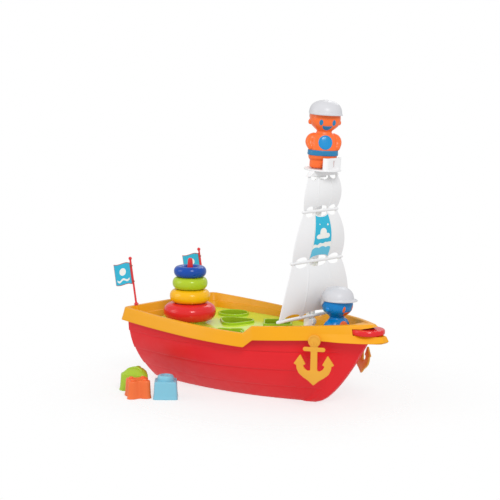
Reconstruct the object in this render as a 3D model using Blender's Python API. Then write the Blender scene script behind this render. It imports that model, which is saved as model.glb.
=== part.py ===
# Play boat: a moulded toy ship with a shape-sorter deck, stacking rings, a square-rigged mast,
# two sailors, two anchors and three sorter blocks.
# Metres, +X towards the bow, +Y to port, +Z up. The origin is on the hull's flat bottom.
import bpy
import bmesh
from math import atan2, copysign, cos, pi, radians, sin, sqrt
from mathutils import Matrix, Vector

# Clearances
GAP = 0.0003
PLAY = 0.0006

# Rim of the boat, seen from above
RIM_HALF_BEAM = 0.155
STERN_X = -0.300
WIDEST_X = -0.120
NOSE_X = 0.262
NOSE_BLUNT = 0.009
STERN_TUCK = 0.012
STERN_CORNER = 0.012
BOW_FULLNESS = 2.1
NOSE_INSET = 1.9
STRIP_STEPS = 8

# Sheer: height of the rim, which steps up to the foredeck
STERN_RIM_Z = 0.1615
WAIST_RIM_Z = 0.1482
FOREDECK_RIM_Z = 0.1645
NOSE_RIM_Z = 0.1800
STEP_START_X = 0.035
STEP_END_X = 0.057

# Hull
HULL_WALL = 0.0026
THINNEST = 0.0009
HULL_INSET = 0.0075
TRANSOM_TOP_X = -0.2920
TRANSOM_BOTTOM_X = -0.2840
BOTTOM_HALF_BEAM = 0.074
BOTTOM_STERN_TUCK = 0.010
BOTTOM_WIDEST_X = -0.160
STEM_FOOT_X = 0.126
STEM_RAKE = 0.130
STEM_HEIGHT = 0.150
STEM_CURVE = 0.66
STEM_HALF_WIDTH = 0.004
BILGE_FULLNESS = 2.1
LAP_DEPTH = 0.0020
LAP_LEVELS = (0.25, 0.54, 0.84)
LAP_FADE = 0.12
LAP_EDGE = 0.004
HULL_SHARES = (0, 0.06, 0.14, 0.23, 0.32, 0.41, 0.50, 0.58, 0.66, 0.73, 0.80, 0.845, 0.885, 0.900, 0.93,
               0.965, 1)
HULL_UNDER_RIM = 0.017
HULL_UNDER_FORE_RIM = 0.024

# Deck tray
SKIRT_DEPTH = 0.027
SKIRT_FLARE = 0.006
NOSE_FLARE = 0.020
NOSE_FLARE_START_X = 0.150
TRAY_WALL = 0.0025
RIM_WIDTH = 0.008
LEDGE_Z = 0.144
LEDGE_INSET = 0.0135
LEDGE_WIDTH = 0.003
DECK_WALL_INSET = 0.0192
DECK_SEAT_Z = 0.128
DECK_SEAT_WIDTH = 0.0095
SEAT_THICKNESS = 0.0025

# Bow well, where the blue sailor stands
WELL_FLOOR_Z = 0.109
WELL_AFT_X = 0.126
WELL_FRONT_X = 0.203
WELL_WALL = 0.0025
BRIDGE_AFT_X = 0.082
FORE_PLATE_X = 0.214

# Nose with the slot for the bow disc
LIP_AFT_X = 0.200
LIP_INSET = 0.0010
LIP_BOTTOM_Z = 0.144
LIP_TOP_Z = 0.158
TONGUE_BOTTOM_Z = 0.1705
CORE_AFT_X = 0.2075
CORE_TOP_AFT_X = 0.222
DISC_X = 0.250
DISC_RADIUS = 0.0345
DISC_THICKNESS = 0.011
DISC_PIN_RADIUS = 0.003
SLOT_RADIUS = 0.0355
PIN_SEAT = 0.0045
SLOT_TURN = radians(3.7)
SLOT_OPENING_AFT = 0.012
SLOT_OPENING_REACH = 0.06
SLOT_OPENING_HALF = 0.05

# Sorter plate
PLATE_THICKNESS = 0.003
PLATE_FORE_X = 0.086
COLLAR_HEIGHT = 0.005
COLLAR_WALL = 0.003
COLLAR_BEVEL = 0.0008
HOLE_PLAY = 0.0015
HOLE_CLEAR = 0.005
# Each hole keeps its distance from the rim on its own side
ROUND_HOLE_FROM_RIM = 0.069
QUATREFOIL_HOLE_FROM_RIM = 0.0731
SQUARE_HOLE_FROM_RIM = 0.0863
ROUND_HOLE_AT = (-0.184, RIM_HALF_BEAM - ROUND_HOLE_FROM_RIM)
ROUND_HOLE_RADIUS = 0.030
TRIANGLE_HOLE_AT = (-0.118, 0.018)
QUATREFOIL_HOLE_AT = (-0.0445, QUATREFOIL_HOLE_FROM_RIM - RIM_HALF_BEAM)
SQUARE_HOLE_AT = (-0.0405, RIM_HALF_BEAM - SQUARE_HOLE_FROM_RIM)
TRIANGLE_HOLE_TURN = radians(79.0)
QUATREFOIL_HOLE_TURN = radians(41.0)
SQUARE_HOLE_TURN = radians(40.0)
CHUTE_DEPTH = 0.0095
COLLAR_FLANGE = 0.0012

# Stacking rings: outer radius and height, from the lowest up
STACK_AT = (-0.1855, -0.054)
STACK_FOOT_RADIUS = 0.035
STACK_FOOT_HEIGHT = 0.0055
RING_BORE = 0.0135
RING_PROFILE_SIDES = 12
RINGS = (
    ("ring_red", 0.0564, 0.0376),
    ("ring_yellow", 0.0434, 0.0292),
    ("ring_green", 0.0377, 0.0262),
    ("ring_blue", 0.0349, 0.0232),
)
PEG_BASE_RADIUS = 0.0118
PEG_TOP_RADIUS = 0.0048
PEG_TOP_Z = 0.2715

# Flags
POLE_X = -0.2935
POLE_FROM_RIM = 0.046
POLE_Y = RIM_HALF_BEAM - POLE_FROM_RIM
POLE_RAKE = radians(11.3)
POLE_LENGTH = 0.102
POLE_RADIUS = 0.0032
POLE_BALL_RADIUS = 0.0045
POLE_COLLAR_RADIUS = 0.0062
POLE_COLLAR_LIFT = 0.0017
POLE_SOCKET_DEPTH = 0.010
FLAG_LENGTH = 0.0515
FLAG_HEIGHT = 0.047
FLAG_TOP_BELOW_BALL = 0.008
FLAG_THICKNESS = 0.0016
FLAG_WAVE = 0.0030

# Mast and sails, in the mast's own frame: Z runs up the mast from its foot
MAST_FOOT_X = 0.1000
MAST_RAKE = radians(3.3)
MAST_FOOT_Z = 0.110
POST_RADIUS = 0.0118
POST_TOP = 0.0600
MAST_TOP = 0.3496
RIB_SPACING = 0.0140
RIB_WIDTH = 0.005
RIB_DEPTH = 0.008
RIB_FRONT = 0.0048
YARD_RADIUS = 0.0034
# Yards from the lowest up: name, height and half length
YARDS = (
    ("boom", 0.0690, 0.1155),
    ("yard_middle", 0.1840, 0.0843),
    ("yard_upper", 0.2862, 0.0575),
)
HEAD_AT = 0.3576
HEAD_HALF = 0.0500
# Sails from the lowest up: name, and how far their edges bow out
SAILS = (("sail_lower", 0.0070), ("sail_middle", 0.0130), ("sail_upper", 0.0110))
SAIL_THICKNESS = 0.0016
SAIL_BELLY = 0.011
SAIL_EDGE_BELLY = 0.005
SLOT_DEPTH = 0.0075
BANNER_THICKNESS = 0.0006
BANNER_SHARE = 0.36
BANNER_MARGIN = 0.02

# Crow's nest
NEST_AT = 0.3718
NEST_FORWARD = 0.0074
NEST_RADIUS = 0.0375
NEST_FLOOR = 0.0032
NEST_WALL_X = 0.0285
NEST_WALL_HALF = 0.0250
NEST_WALL_HEIGHT = 0.0235
NEST_WALL = 0.0024
NEST_RETURN = 0.009
NEST_SLOT_WIDTH = 0.0030

# Sailors: height above the feet, half width, half depth, forward shift
SAILOR_SECTIONS = (
    (0.0000, 0.0215, 0.0110, 0.0),
    (0.0015, 0.0245, 0.0135, 0.0),
    (0.0060, 0.0258, 0.0150, 0.0),
    (0.0170, 0.0258, 0.0155, 0.0),
    (0.0185, 0.0280, 0.0190, 0.0),
    (0.0255, 0.0290, 0.0215, 0.0),
    (0.0400, 0.0300, 0.0225, 0.0),
    (0.0460, 0.0345, 0.0220, 0.0),
    (0.0540, 0.0370, 0.0210, 0.0),
    (0.0620, 0.0345, 0.0195, 0.0),
    (0.0680, 0.0265, 0.0170, 0.0),
    (0.0715, 0.0160, 0.0140, 0.0),
    (0.0750, 0.0150, 0.0135, 0.0),
    (0.0790, 0.0190, 0.0190, 0.001),
    (0.0860, 0.0265, 0.0262, 0.001),
    (0.0930, 0.0297, 0.0291, 0.001),
    (0.1020, 0.0304, 0.0296, 0.001),
    (0.1120, 0.0284, 0.0276, 0.001),
    (0.1210, 0.0224, 0.0215, 0.001),
    (0.1260, 0.0120, 0.0115, 0.001),
)
SAILOR_SIDES = 20
SAILOR_SQUARENESS = 0.88
SAILOR_NECK_Z = 0.0740
SAILOR_ROUNDING = 0.0004
LEG_GAP = 0.0024
LEG_HEIGHT = 0.0165
PATCH_GAP = 0.0004
INLAY_PROUD = 0.0004
BELLY_PROUD = 0.0012
EAR_X = -0.0010
EAR_DEPTH = 0.0060
EAR_Z = 0.0922
EAR_RADIUS = 0.0045
EAR_REACH = 0.0340
BELLY_Z = 0.0532
BELLY_RADIUS = 0.0142
BELT_BOTTOM = 0.0262
BELT_TOP = 0.0372
BELT_PROUD = 0.0022
EYE_Z = 0.0935
EYE_HALF_SPACING = 0.0130
EYE_HALF_WIDTH = 0.0037
EYE_HALF_HEIGHT = 0.0060
MOUTH_Z = 0.0873
MOUTH_HALF_WIDTH = 0.0098
MOUTH_HEIGHT = 0.0098
CAP_EDGE_Z = 0.1088
CAP_TOP_Z = 0.1368
CAP_HALF_WIDTH = 0.0332
CAP_BRIM = 0.0095
CAP_FLAP = 0.0105
CAP_FLAP_STARTS = 0.35
CAP_FLAP_FULL = 0.85
CAP_WALL = 0.0016
CAP_LINING = (0.1125, 0.1165, 0.1210, 0.1235, 0.1260)
CAP_LINING_TOP = 0.1275
# Height of the cap's outside, and its radius as a share of the cap's half width
CAP_OUTSIDE = ((0.1357, 0.33), (0.1322, 0.62), (0.1266, 0.84), (0.1190, 0.96), (0.1125, 1.0))
NEST_SAILOR_BACK = 0.0020
NEST_STANDING_GAP = 0.0004
ORANGE_SAILOR_TURN = radians(-40.0)
BLUE_SAILOR_X = 0.1722

# Anchors, in the plane of the plate: across and down from the peg
ANCHOR_X = 0.1675
ANCHOR_PEG_DROP = 0.0062
TANGENT_STEP = 0.002
ANCHOR_PEG_LENGTH = 0.0152
ANCHOR_PEG_COLLAR = 0.0042
ANCHOR_THICKNESS = 0.0040
ANCHOR_HEAD_RADIUS = 0.0125
ANCHOR_PEG_RADIUS = 0.0030
ANCHOR_BORE = 0.0036
ANCHOR_DROP = 0.0920
ANCHOR_STOCK_DROP = 0.0166
ANCHOR_STOCK_HALF = 0.0225
ANCHOR_STOCK_HEIGHT = 0.0084
ANCHOR_SHANK_HALF = 0.0066
ANCHOR_ARM_HALF = 0.0390
ANCHOR_COLLAR_REACH = 0.0070
# Arm and fluke from the shank out and down to the bottom point
ANCHOR_ARM = (
    (0.0069, -0.0581), (0.0090, -0.0605), (0.0135, -0.0599), (0.0185, -0.0562), (0.0212, -0.0516),
    (0.0210, -0.0493), (0.0170, -0.0475), (0.0277, -0.0277), (0.0408, -0.0470), (0.0355, -0.0498),
    (0.0345, -0.0572), (0.0300, -0.0664), (0.0210, -0.0738), (0.0110, -0.0800), (0.0050, -0.0853),
    (0.0, -0.0894),
)

# Sorter blocks
BLOCK_SIZE = 0.0510
BLOCK_HEIGHT = 0.0365
BLOCK_WALL = 0.0025
BLOCK_STUD_HEIGHT = 0.0110
QUATREFOIL_RADIUS = 0.0262
QUATREFOIL_WAVE = 0.0062
QUATREFOIL_STEPS = 32
# A block's side: height as a share of the block's, and size as a share of the foot's
BLOCK_SIDES = ((0.0, 1.0), (0.05, 0.994), (0.14, 0.966), (0.30, 0.945), (0.92, 0.900), (0.98, 0.880), (1.0, 0.85))
BLOCK_HOLLOW = 0.80
SQUARE_STUD_RADIUS = 0.0175
NUB_RADIUS = 0.0048
NUB_HEIGHT = 0.0034
NUB_CIRCLE = 0.0175
DOME_SHARE = 0.84
DOME_RINGS = 6
DOME_HEIGHT = 0.0135
DOME_STEEPEST = radians(78.0)
DOME_RIB_REACH = 0.0205
DOME_RIB_RADIUS = 0.0030
DOME_RIB_START = -0.0017
DOME_RIB_TOP_SINK = 0.0024
DOME_RIB_STEP = 0.0002
DOME_RIB_END_RISE = 0.0044
DOME_RIB_TURN = radians(91.0)
TRIANGLE_RADIUS = 0.0360
TRIANGLE_CORNER = 0.0150
SQUARE_BLOCK_AT = (-0.1221, -0.1913)
QUATREFOIL_BLOCK_AT = (-0.1674, -0.2269)
TRIANGLE_BLOCK_AT = (-0.2156, -0.1846)
SQUARE_BLOCK_TURN = radians(43.0)
QUATREFOIL_BLOCK_TURN = radians(55.0)
TRIANGLE_BLOCK_TURN = radians(20.0)

ROUND_SIDES = 28
SMOOTH_ANGLE = radians(35)

RED = (0.72, 0.025, 0.03)
YELLOW = (0.95, 0.46, 0.006)
LIME = (0.46, 0.60, 0.03)
WHITE = (0.80, 0.80, 0.81)
BLUE = (0.0, 0.20, 0.56)
SKY = (0.23, 0.56, 0.70)
CYAN = (0.02, 0.46, 0.66)
ORANGE = (0.89, 0.145, 0.035)
TEAL = (0.02, 0.22, 0.43)
BELLY_BLUE = (0.01, 0.28, 0.60)
ANCHOR_YELLOW = (0.83, 0.40, 0.04)
STEEL = (0.60, 0.60, 0.62)


def clear_scene():
    for item in list(bpy.data.objects):
        bpy.data.objects.remove(item, do_unlink=True)


def plastic(name, colour, roughness=0.3, metallic=0.0):
    material = bpy.data.materials.new(name)
    material.use_nodes = True
    shader = material.node_tree.nodes["Principled BSDF"]
    shader.inputs["Base Color"].default_value = (*colour, 1.0)
    shader.inputs["Roughness"].default_value = roughness
    shader.inputs["Metallic"].default_value = metallic
    return material


def make_object(name, points, faces, colour=WHITE, roughness=0.3, metallic=0.0):
    mesh = bpy.data.meshes.new(name)
    mesh.from_pydata([tuple(point) for point in points], [], faces)
    shape = bmesh.new()
    shape.from_mesh(mesh)
    bmesh.ops.triangulate(shape, faces=shape.faces)
    bmesh.ops.recalc_face_normals(shape, faces=shape.faces)
    shape.to_mesh(mesh)
    shape.free()
    mesh.shade_smooth()
    mesh.set_sharp_from_angle(angle=SMOOTH_ANGLE)
    mesh.materials.append(plastic(name, colour, roughness, metallic))
    item = bpy.data.objects.new(name, mesh)
    bpy.context.scene.collection.objects.link(item)
    return item


def loft(name, rings, colour=WHITE, roughness=0.3, metallic=0.0):
    """A closed solid through rings of equal point counts, with flat ends."""
    count = len(rings[0])
    points = [point for ring in rings for point in ring]
    faces = []
    for level in range(len(rings) - 1):
        low = level * count
        for i in range(count):
            j = (i + 1) % count
            faces.append((low + i, low + j, low + count + j, low + count + i))
    last = (len(rings) - 1) * count
    faces.append(tuple(range(count)))
    faces.append(tuple(last + i for i in range(count)))
    return make_object(name, points, faces, colour, roughness, metallic)


def swept_ring(name, sections, colour=WHITE, roughness=0.3, metallic=0.0):
    """A closed band: equal sections joined one to the next and back to the first."""
    count = len(sections[0])
    total = len(sections)
    points = [point for section in sections for point in section]
    faces = []
    for s in range(total):
        here = s * count
        there = ((s + 1) % total) * count
        for i in range(count):
            j = (i + 1) % count
            faces.append((here + i, here + j, there + j, there + i))
    return make_object(name, points, faces, colour, roughness, metallic)


def turned(name, profile, sides=ROUND_SIDES, colour=WHITE, roughness=0.3, metallic=0.0):
    """A solid of revolution about Z. The profile is radius and height, from one pole to the other
    or round a closed section that stays off the axis."""
    sections = []
    for s in range(sides):
        angle = 2 * pi * s / sides
        sections.append([Vector((r * cos(angle), r * sin(angle), z)) for r, z in profile])
    if all(r > 0 for r, _ in profile):
        return swept_ring(name, sections, colour, roughness, metallic)
    points = []
    rows = []
    for k, (r, z) in enumerate(profile):
        if r == 0:
            rows.append([len(points)] * sides)
            points.append(Vector((0, 0, z)))
        else:
            rows.append([len(points) + s for s in range(sides)])
            points.extend(sections[s][k] for s in range(sides))
    faces = []
    for k in range(len(rows) - 1):
        for s in range(sides):
            t = (s + 1) % sides
            corners = [rows[k][s], rows[k][t], rows[k + 1][t], rows[k + 1][s]]
            face = list(dict.fromkeys(corners))
            if len(face) > 2:
                faces.append(face)
    return make_object(name, points, faces, colour, roughness, metallic)


def extrude_outline(name, outline, low, high, colour=WHITE, roughness=0.3, metallic=0.0):
    rings = [[Vector((x, y, z)) for x, y in outline] for z in (low, high)]
    return loft(name, rings, colour, roughness, metallic)


def box(name, low, high):
    outline = ((low[0], low[1]), (high[0], low[1]), (high[0], high[1]), (low[0], high[1]))
    return extrude_outline(name, outline, low[2], high[2])


def rod(name, start, end, radius, sides=12):
    """A round bar between two points."""
    start = Vector(start)
    end = Vector(end)
    along = end - start
    turn = along.to_track_quat("Z", "Y").to_matrix()
    rings = []
    for centre in (start, end):
        ring = []
        for s in range(sides):
            angle = 2 * pi * s / sides
            ring.append(centre + turn @ Vector((radius * cos(angle), radius * sin(angle), 0)))
        rings.append(ring)
    return loft(name, rings)


def combine(target, tool, operation):
    """Cuts or joins a tool into the target and removes the tool."""
    modifier = target.modifiers.new("shape", "BOOLEAN")
    modifier.operation = operation
    modifier.object = tool
    bpy.context.view_layer.update()
    result = target.evaluated_get(bpy.context.evaluated_depsgraph_get())
    mesh = bpy.data.meshes.new_from_object(result)
    target.modifiers.clear()
    target.data = mesh
    mesh.materials.clear()
    mesh.materials.append(bpy.data.materials[target.name])
    bpy.data.objects.remove(tool, do_unlink=True)
    return target


def cut(target, tool):
    return combine(target, tool, "DIFFERENCE")


def join(target, tool):
    return combine(target, tool, "UNION")


def reshade(item):
    item.data.shade_smooth()
    item.data.set_sharp_from_angle(angle=SMOOTH_ANGLE)


def place(item, matrix):
    """Moves the mesh itself, so that the object's own origin can sit on its joint."""
    item.data.transform(matrix)
    if matrix.determinant() < 0:
        item.data.flip_normals()
    return item


def origin_to(item, point):
    point = Vector(point)
    item.data.transform(Matrix.Translation(-point))
    item.location = point


def circle(radius, sides, centre=(0.0, 0.0), start=0.0):
    points = []
    for s in range(sides):
        angle = start + 2 * pi * s / sides
        points.append((centre[0] + radius * cos(angle), centre[1] + radius * sin(angle)))
    return points


def half_beam(x, inset=0.0):
    """Half width of the boat at the rim, or of an outline set in from it."""
    beam = RIM_HALF_BEAM - inset
    nose = NOSE_X + NOSE_BLUNT - NOSE_INSET * inset
    if x > WIDEST_X:
        share = (x - WIDEST_X) / (nose - WIDEST_X)
        return beam * (1 - share ** BOW_FULLNESS)
    tuck = STERN_TUCK * ((WIDEST_X - x) / (WIDEST_X - STERN_X)) ** 2
    return beam - tuck


def rim_z(x):
    if x < STEP_START_X:
        return WAIST_RIM_Z + (STERN_RIM_Z - WAIST_RIM_Z) * (STEP_START_X - x) / (STEP_START_X - STERN_X)
    if x < STEP_END_X:
        return WAIST_RIM_Z + (FOREDECK_RIM_Z - WAIST_RIM_Z) * (x - STEP_START_X) / (STEP_END_X - STEP_START_X)
    return FOREDECK_RIM_Z + (NOSE_RIM_Z - FOREDECK_RIM_Z) * (x - STEP_END_X) / (NOSE_X - STEP_END_X)


def rim_stations():
    """Places along the boat, close together at the stern corner, the step and the nose."""
    aft = [STERN_X, STERN_X + STERN_CORNER * 0.3, STERN_X + STERN_CORNER]
    aft += [-0.270, -0.225, -0.175, WIDEST_X, -0.075, -0.035, 0.0]
    fore = [0.085, 0.115, 0.145, 0.172, 0.196, 0.216, 0.234, 0.249, NOSE_X]
    return aft + [STEP_START_X, STEP_END_X] + fore


def rim_point(station, inset):
    """The outline's point that belongs to a station of the rim, on the port side."""
    stern = STERN_X + inset
    nose = NOSE_X - NOSE_INSET * inset
    share = (station - STERN_X) / (NOSE_X - STERN_X)
    x = stern + share * (nose - stern)
    y = half_beam(x, inset)
    turn = max(0.0, 1 - (station - STERN_X) / STERN_CORNER)
    return x, y - STERN_CORNER * (1 - sqrt(1 - turn * turn))


def both_sides(port):
    """A symmetric loop from port points that run from the stern to the bow."""
    return list(port) + [Vector((p.x, -p.y, p.z)) for p in reversed(port)]


def rim_outline(inset, z, high_x):
    """A flat outline at height z from the stern to a straight edge across the boat."""
    port = []
    for station in rim_stations():
        x, y = rim_point(station, inset)
        if x < high_x:
            port.append(Vector((x, y, z)))
    port.append(Vector((high_x, half_beam(high_x, inset), z)))
    return both_sides(port)


def strip_outline(inset, z, low_x, high_x):
    """A flat outline at height z between two straight edges across the boat."""
    port = []
    for k in range(STRIP_STEPS + 1):
        x = low_x + (high_x - low_x) * k / STRIP_STEPS
        port.append(Vector((x, half_beam(x, inset), z)))
    return both_sides(port)


def hull_top(x):
    if x < STEP_END_X:
        return rim_z(x) - HULL_UNDER_RIM
    if x < LIP_AFT_X - PLAY:
        return rim_z(x) - HULL_UNDER_FORE_RIM
    return LIP_BOTTOM_Z - GAP


def section_width(level):
    """How far the side has come out, from the bottom's edge at 0 to the top at 1."""
    return 1 - (1 - level) ** BILGE_FULLNESS


def hull_point(share, level, wall=0.0, top_extra=0.0):
    """A point of the port side: share runs from transom to stem, level from bottom to top."""
    nominal = TRANSOM_TOP_X + (STEM_FOOT_X + STEM_RAKE * level ** STEM_CURVE - TRANSOM_TOP_X) * share
    z = hull_top(nominal) * level
    stem = STEM_FOOT_X + STEM_RAKE * (z / STEM_HEIGHT) ** STEM_CURVE - wall
    transom = TRANSOM_BOTTOM_X + (TRANSOM_TOP_X - TRANSOM_BOTTOM_X) * level + wall
    x = transom + (stem - transom) * share
    width = section_width(level)
    beam = BOTTOM_HALF_BEAM + (RIM_HALF_BEAM - HULL_INSET - BOTTOM_HALF_BEAM) * width
    widest = BOTTOM_WIDEST_X + (WIDEST_X - BOTTOM_WIDEST_X) * width
    if x > widest:
        run = (x - widest) / (stem - widest)
        y = STEM_HALF_WIDTH + (beam - STEM_HALF_WIDTH) * (1 - run ** BOW_FULLNESS)
    else:
        tuck = BOTTOM_STERN_TUCK + (STERN_TUCK - BOTTOM_STERN_TUCK) * width
        y = beam - tuck * ((widest - x) / (widest - transom)) ** 2
    lift = top_extra if level == 1 else wall * (1 - level)
    return x, max(y - wall, THINNEST), z + lift


def hull_skin(name, wall, levels, shares, top_extra=0.0, lap=0.0):
    """A solid with the hull's outside shape, or its inside when a wall is given."""
    rows = []
    for level, step in levels:
        row = []
        for share in shares:
            x, y, z = hull_point(share, level, wall, top_extra)
            fade = min(1.0, (1 - share) / LAP_FADE)
            row.append(Vector((x, y - lap * step * fade, z)))
        rows.append(row)
    count = len(shares)
    points = [p for row in rows for p in row]
    mirror = len(points)
    points += [Vector((p.x, -p.y, p.z)) for p in points]
    faces = []
    for k in range(len(rows) - 1):
        for i in range(count - 1):
            a = k * count + i
            faces.append((a, a + 1, a + 1 + count, a + count))
            faces.append((a + count + mirror, a + 1 + count + mirror, a + 1 + mirror, a + mirror))
        stern = k * count
        faces.append((stern, stern + count, stern + count + mirror, stern + mirror))
        bow = k * count + count - 1
        faces.append((bow, bow + mirror, bow + count + mirror, bow + count))
    top = (len(rows) - 1) * count
    for start, flip in ((0, False), (top, True)):
        for i in range(count - 1):
            a = start + i
            face = (a, a + mirror, a + 1 + mirror, a + 1)
            faces.append(tuple(reversed(face)) if flip else face)
    return make_object(name, points, faces, RED, 0.36)


def make_hull():
    """The red tub: an outer skin with overlapping planks, hollowed out to its wall."""
    laps = len(LAP_LEVELS)
    levels = [(0.0, laps), (0.09, laps)]
    for k, lap_level in enumerate(LAP_LEVELS):
        below = laps - k
        levels.append((lap_level - LAP_EDGE, below))
        levels.append((lap_level + LAP_EDGE, below - 1))
        following = LAP_LEVELS[k + 1] if k + 1 < laps else 1.0
        levels.append(((lap_level + following) / 2, below - 1))
    levels.append((1.0, 0))
    hull = hull_skin("hull", 0.0, levels, HULL_SHARES, lap=LAP_DEPTH)
    cavity = hull_skin("cavity", HULL_WALL, levels, HULL_SHARES, top_extra=SKIRT_DEPTH, lap=LAP_DEPTH)
    cut(hull, cavity)
    for side in (-1, 1):
        matrix = anchor_matrix(side)
        hole = rod("hole", matrix @ Vector((0, 0, -ANCHOR_PEG_LENGTH - 0.004)), matrix @ Vector((0, 0, 0.006)),
                   ANCHOR_PEG_RADIUS + GAP, 12)
        cut(hull, hole)
    reshade(hull)
    return hull


def skirt_edge(station):
    """How far the skirt's lower edge stands out from the rim, and its height. It runs out into the nose."""
    share = max(0.0, (station - NOSE_FLARE_START_X) / (NOSE_X - NOSE_FLARE_START_X))
    flare = SKIRT_FLARE + (NOSE_FLARE - SKIRT_FLARE) * share ** 1.5
    z = rim_z(station) - SKIRT_DEPTH
    fall = min(1.0, share * 2)
    return flare, z + (LIP_BOTTOM_Z - z) * fall * fall * (3 - 2 * fall)


def tray_profile(station):
    """The tray's wall in section: skirt, gunwale, inner wall with its ledge, and the deck's seat."""
    top = rim_z(station)
    flare, skirt_z = skirt_edge(station)
    bevel = 0.0015
    seat_inner = DECK_WALL_INSET + DECK_SEAT_WIDTH
    return (
        (-flare, skirt_z),
        (-bevel / 2, top - bevel),
        (bevel / 2, top),
        (RIM_WIDTH - bevel / 2, top),
        (RIM_WIDTH + bevel / 2, top - bevel),
        (LEDGE_INSET, LEDGE_Z + 0.0005),
        (LEDGE_INSET + LEDGE_WIDTH, LEDGE_Z),
        (DECK_WALL_INSET, DECK_SEAT_Z),
        (seat_inner, DECK_SEAT_Z),
        (seat_inner, DECK_SEAT_Z - SEAT_THICKNESS),
        (DECK_WALL_INSET - TRAY_WALL, DECK_SEAT_Z - SEAT_THICKNESS),
        (LEDGE_INSET + LEDGE_WIDTH - TRAY_WALL, LEDGE_Z - TRAY_WALL),
        (RIM_WIDTH - TRAY_WALL, top - TRAY_WALL - bevel),
        (TRAY_WALL - bevel, top - TRAY_WALL - bevel),
        (TRAY_WALL - flare, skirt_z),
    )


def lip_outline(z):
    """The lip at height z, just inside the skirt's outer face."""
    port = []
    for k in range(STRIP_STEPS + 1):
        station = LIP_AFT_X + (NOSE_X - LIP_AFT_X) * sin(pi / 2 * k / STRIP_STEPS)
        flare, skirt_z = skirt_edge(station)
        drop = (rim_z(station) - z) / (rim_z(station) - skirt_z)
        x, y = rim_point(station, LIP_INSET - flare * drop)
        port.append(Vector((x, y, z)))
    return both_sides(port)


def make_tray():
    """The yellow deck moulding, closed at the bow by the nose, the foredeck and the bow well."""
    sections = []
    for side in (1, -1):
        stations = rim_stations()
        if side < 0:
            stations = list(reversed(stations))
        for station in stations:
            section = []
            for inset, z in tray_profile(station):
                x, y = rim_point(station, inset)
                section.append(Vector((x, side * y, z)))
            sections.append(section)
    tray = swept_ring("deck_tray", sections, YELLOW, 0.33)

    # Lower lip and tongue of the nose, tied by the core behind the disc's slot
    lip = loft("lip", [lip_outline(z) for z in (LIP_BOTTOM_Z + 0.0003, LIP_TOP_Z)])
    join(tray, lip)
    core_outline = strip_outline(0.004, LIP_TOP_Z - 0.002, CORE_AFT_X, NOSE_X - 0.008)
    core_top = strip_outline(0.004, 0.0, CORE_TOP_AFT_X, NOSE_X - 0.008)
    core_top = [Vector((p.x, p.y, rim_z(p.x) - 0.001)) for p in core_top]
    join(tray, loft("core", [core_outline, core_top]))
    slot_bottom = LIP_TOP_Z + GAP
    pin_radius = DISC_PIN_RADIUS + GAP
    slot = turned("slot", (
        (0, LIP_BOTTOM_Z + PIN_SEAT), (pin_radius, LIP_BOTTOM_Z + PIN_SEAT), (pin_radius, slot_bottom),
        (SLOT_RADIUS, slot_bottom), (SLOT_RADIUS, TONGUE_BOTTOM_Z), (pin_radius, TONGUE_BOTTOM_Z),
        (pin_radius, TONGUE_BOTTOM_Z + PIN_SEAT), (0, TONGUE_BOTTOM_Z + PIN_SEAT),
    ))
    place(slot, Matrix.Translation((DISC_X, 0, 0)) @ Matrix.Rotation(SLOT_TURN, 4, "Z"))
    front = box("slot_front", (DISC_X + SLOT_OPENING_AFT, -SLOT_OPENING_HALF, slot_bottom),
                (NOSE_X + SLOT_OPENING_REACH, SLOT_OPENING_HALF, TONGUE_BOTTOM_Z))
    join(slot, front)
    cut(tray, slot)

    # Bow well: a pan under the foredeck's opening
    seat_inner = DECK_WALL_INSET + DECK_SEAT_WIDTH
    seat_bottom = DECK_SEAT_Z - SEAT_THICKNESS
    edge = seat_inner - 0.003
    pan = loft("pan", [
        strip_outline(seat_inner - 0.0035, WELL_FLOOR_Z - WELL_WALL, WELL_AFT_X, WELL_FRONT_X),
        strip_outline(seat_inner - 0.0035, DECK_SEAT_Z - 0.0008, WELL_AFT_X, WELL_FRONT_X),
    ])
    join(tray, pan)
    for name, low_x, high_x in (("bridge", BRIDGE_AFT_X, WELL_AFT_X + 0.004),
                                ("fore_plate", WELL_FRONT_X - 0.004, FORE_PLATE_X)):
        join(tray, loft(name, [
            strip_outline(edge, seat_bottom + 0.0004, low_x, high_x),
            strip_outline(edge, DECK_SEAT_Z - 0.0004, low_x, high_x),
        ]))
    hollow = loft("hollow", [
        strip_outline(seat_inner - 0.0010, WELL_FLOOR_Z, WELL_AFT_X + WELL_WALL, WELL_FRONT_X - WELL_WALL),
        strip_outline(seat_inner - 0.0010, DECK_SEAT_Z + 0.002, WELL_AFT_X + WELL_WALL, WELL_FRONT_X - WELL_WALL),
    ])
    cut(tray, hollow)

    # Mast step: a boss under the bridge with a raked bore
    boss_top = (DECK_SEAT_Z - 0.0012 - MAST_FOOT_Z) / cos(MAST_RAKE)
    boss = rod("boss", mast_point(0, 0, -0.004), mast_point(0, 0, boss_top), POST_RADIUS + 0.003, 20)
    join(tray, boss)
    bore = rod("bore", mast_point(0, 0, -GAP), mast_point(0, 0, POST_TOP), POST_RADIUS + GAP, 24)
    cut(tray, bore)

    # Flagpole sockets in the stern gunwale
    for side in (-1, 1):
        socket = rod("socket", pole_point(side, -POLE_SOCKET_DEPTH - 0.001), pole_point(side, 0.010),
                     POLE_RADIUS + GAP, 12)
        pad = rod("pad", pole_point(side, -POLE_SOCKET_DEPTH - 0.003), pole_point(side, -0.0008),
                  POLE_RADIUS + 0.003, 12)
        join(tray, pad)
        cut(tray, socket)

    reshade(tray)
    return tray


def mast_matrix():
    foot = Vector((MAST_FOOT_X - (DECK_SEAT_Z - MAST_FOOT_Z) * sin(MAST_RAKE), 0, MAST_FOOT_Z))
    return Matrix.Translation(foot) @ Matrix.Rotation(MAST_RAKE, 4, "Y")


def mast_point(x, y, z):
    return mast_matrix() @ Vector((x, y, z))


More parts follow.
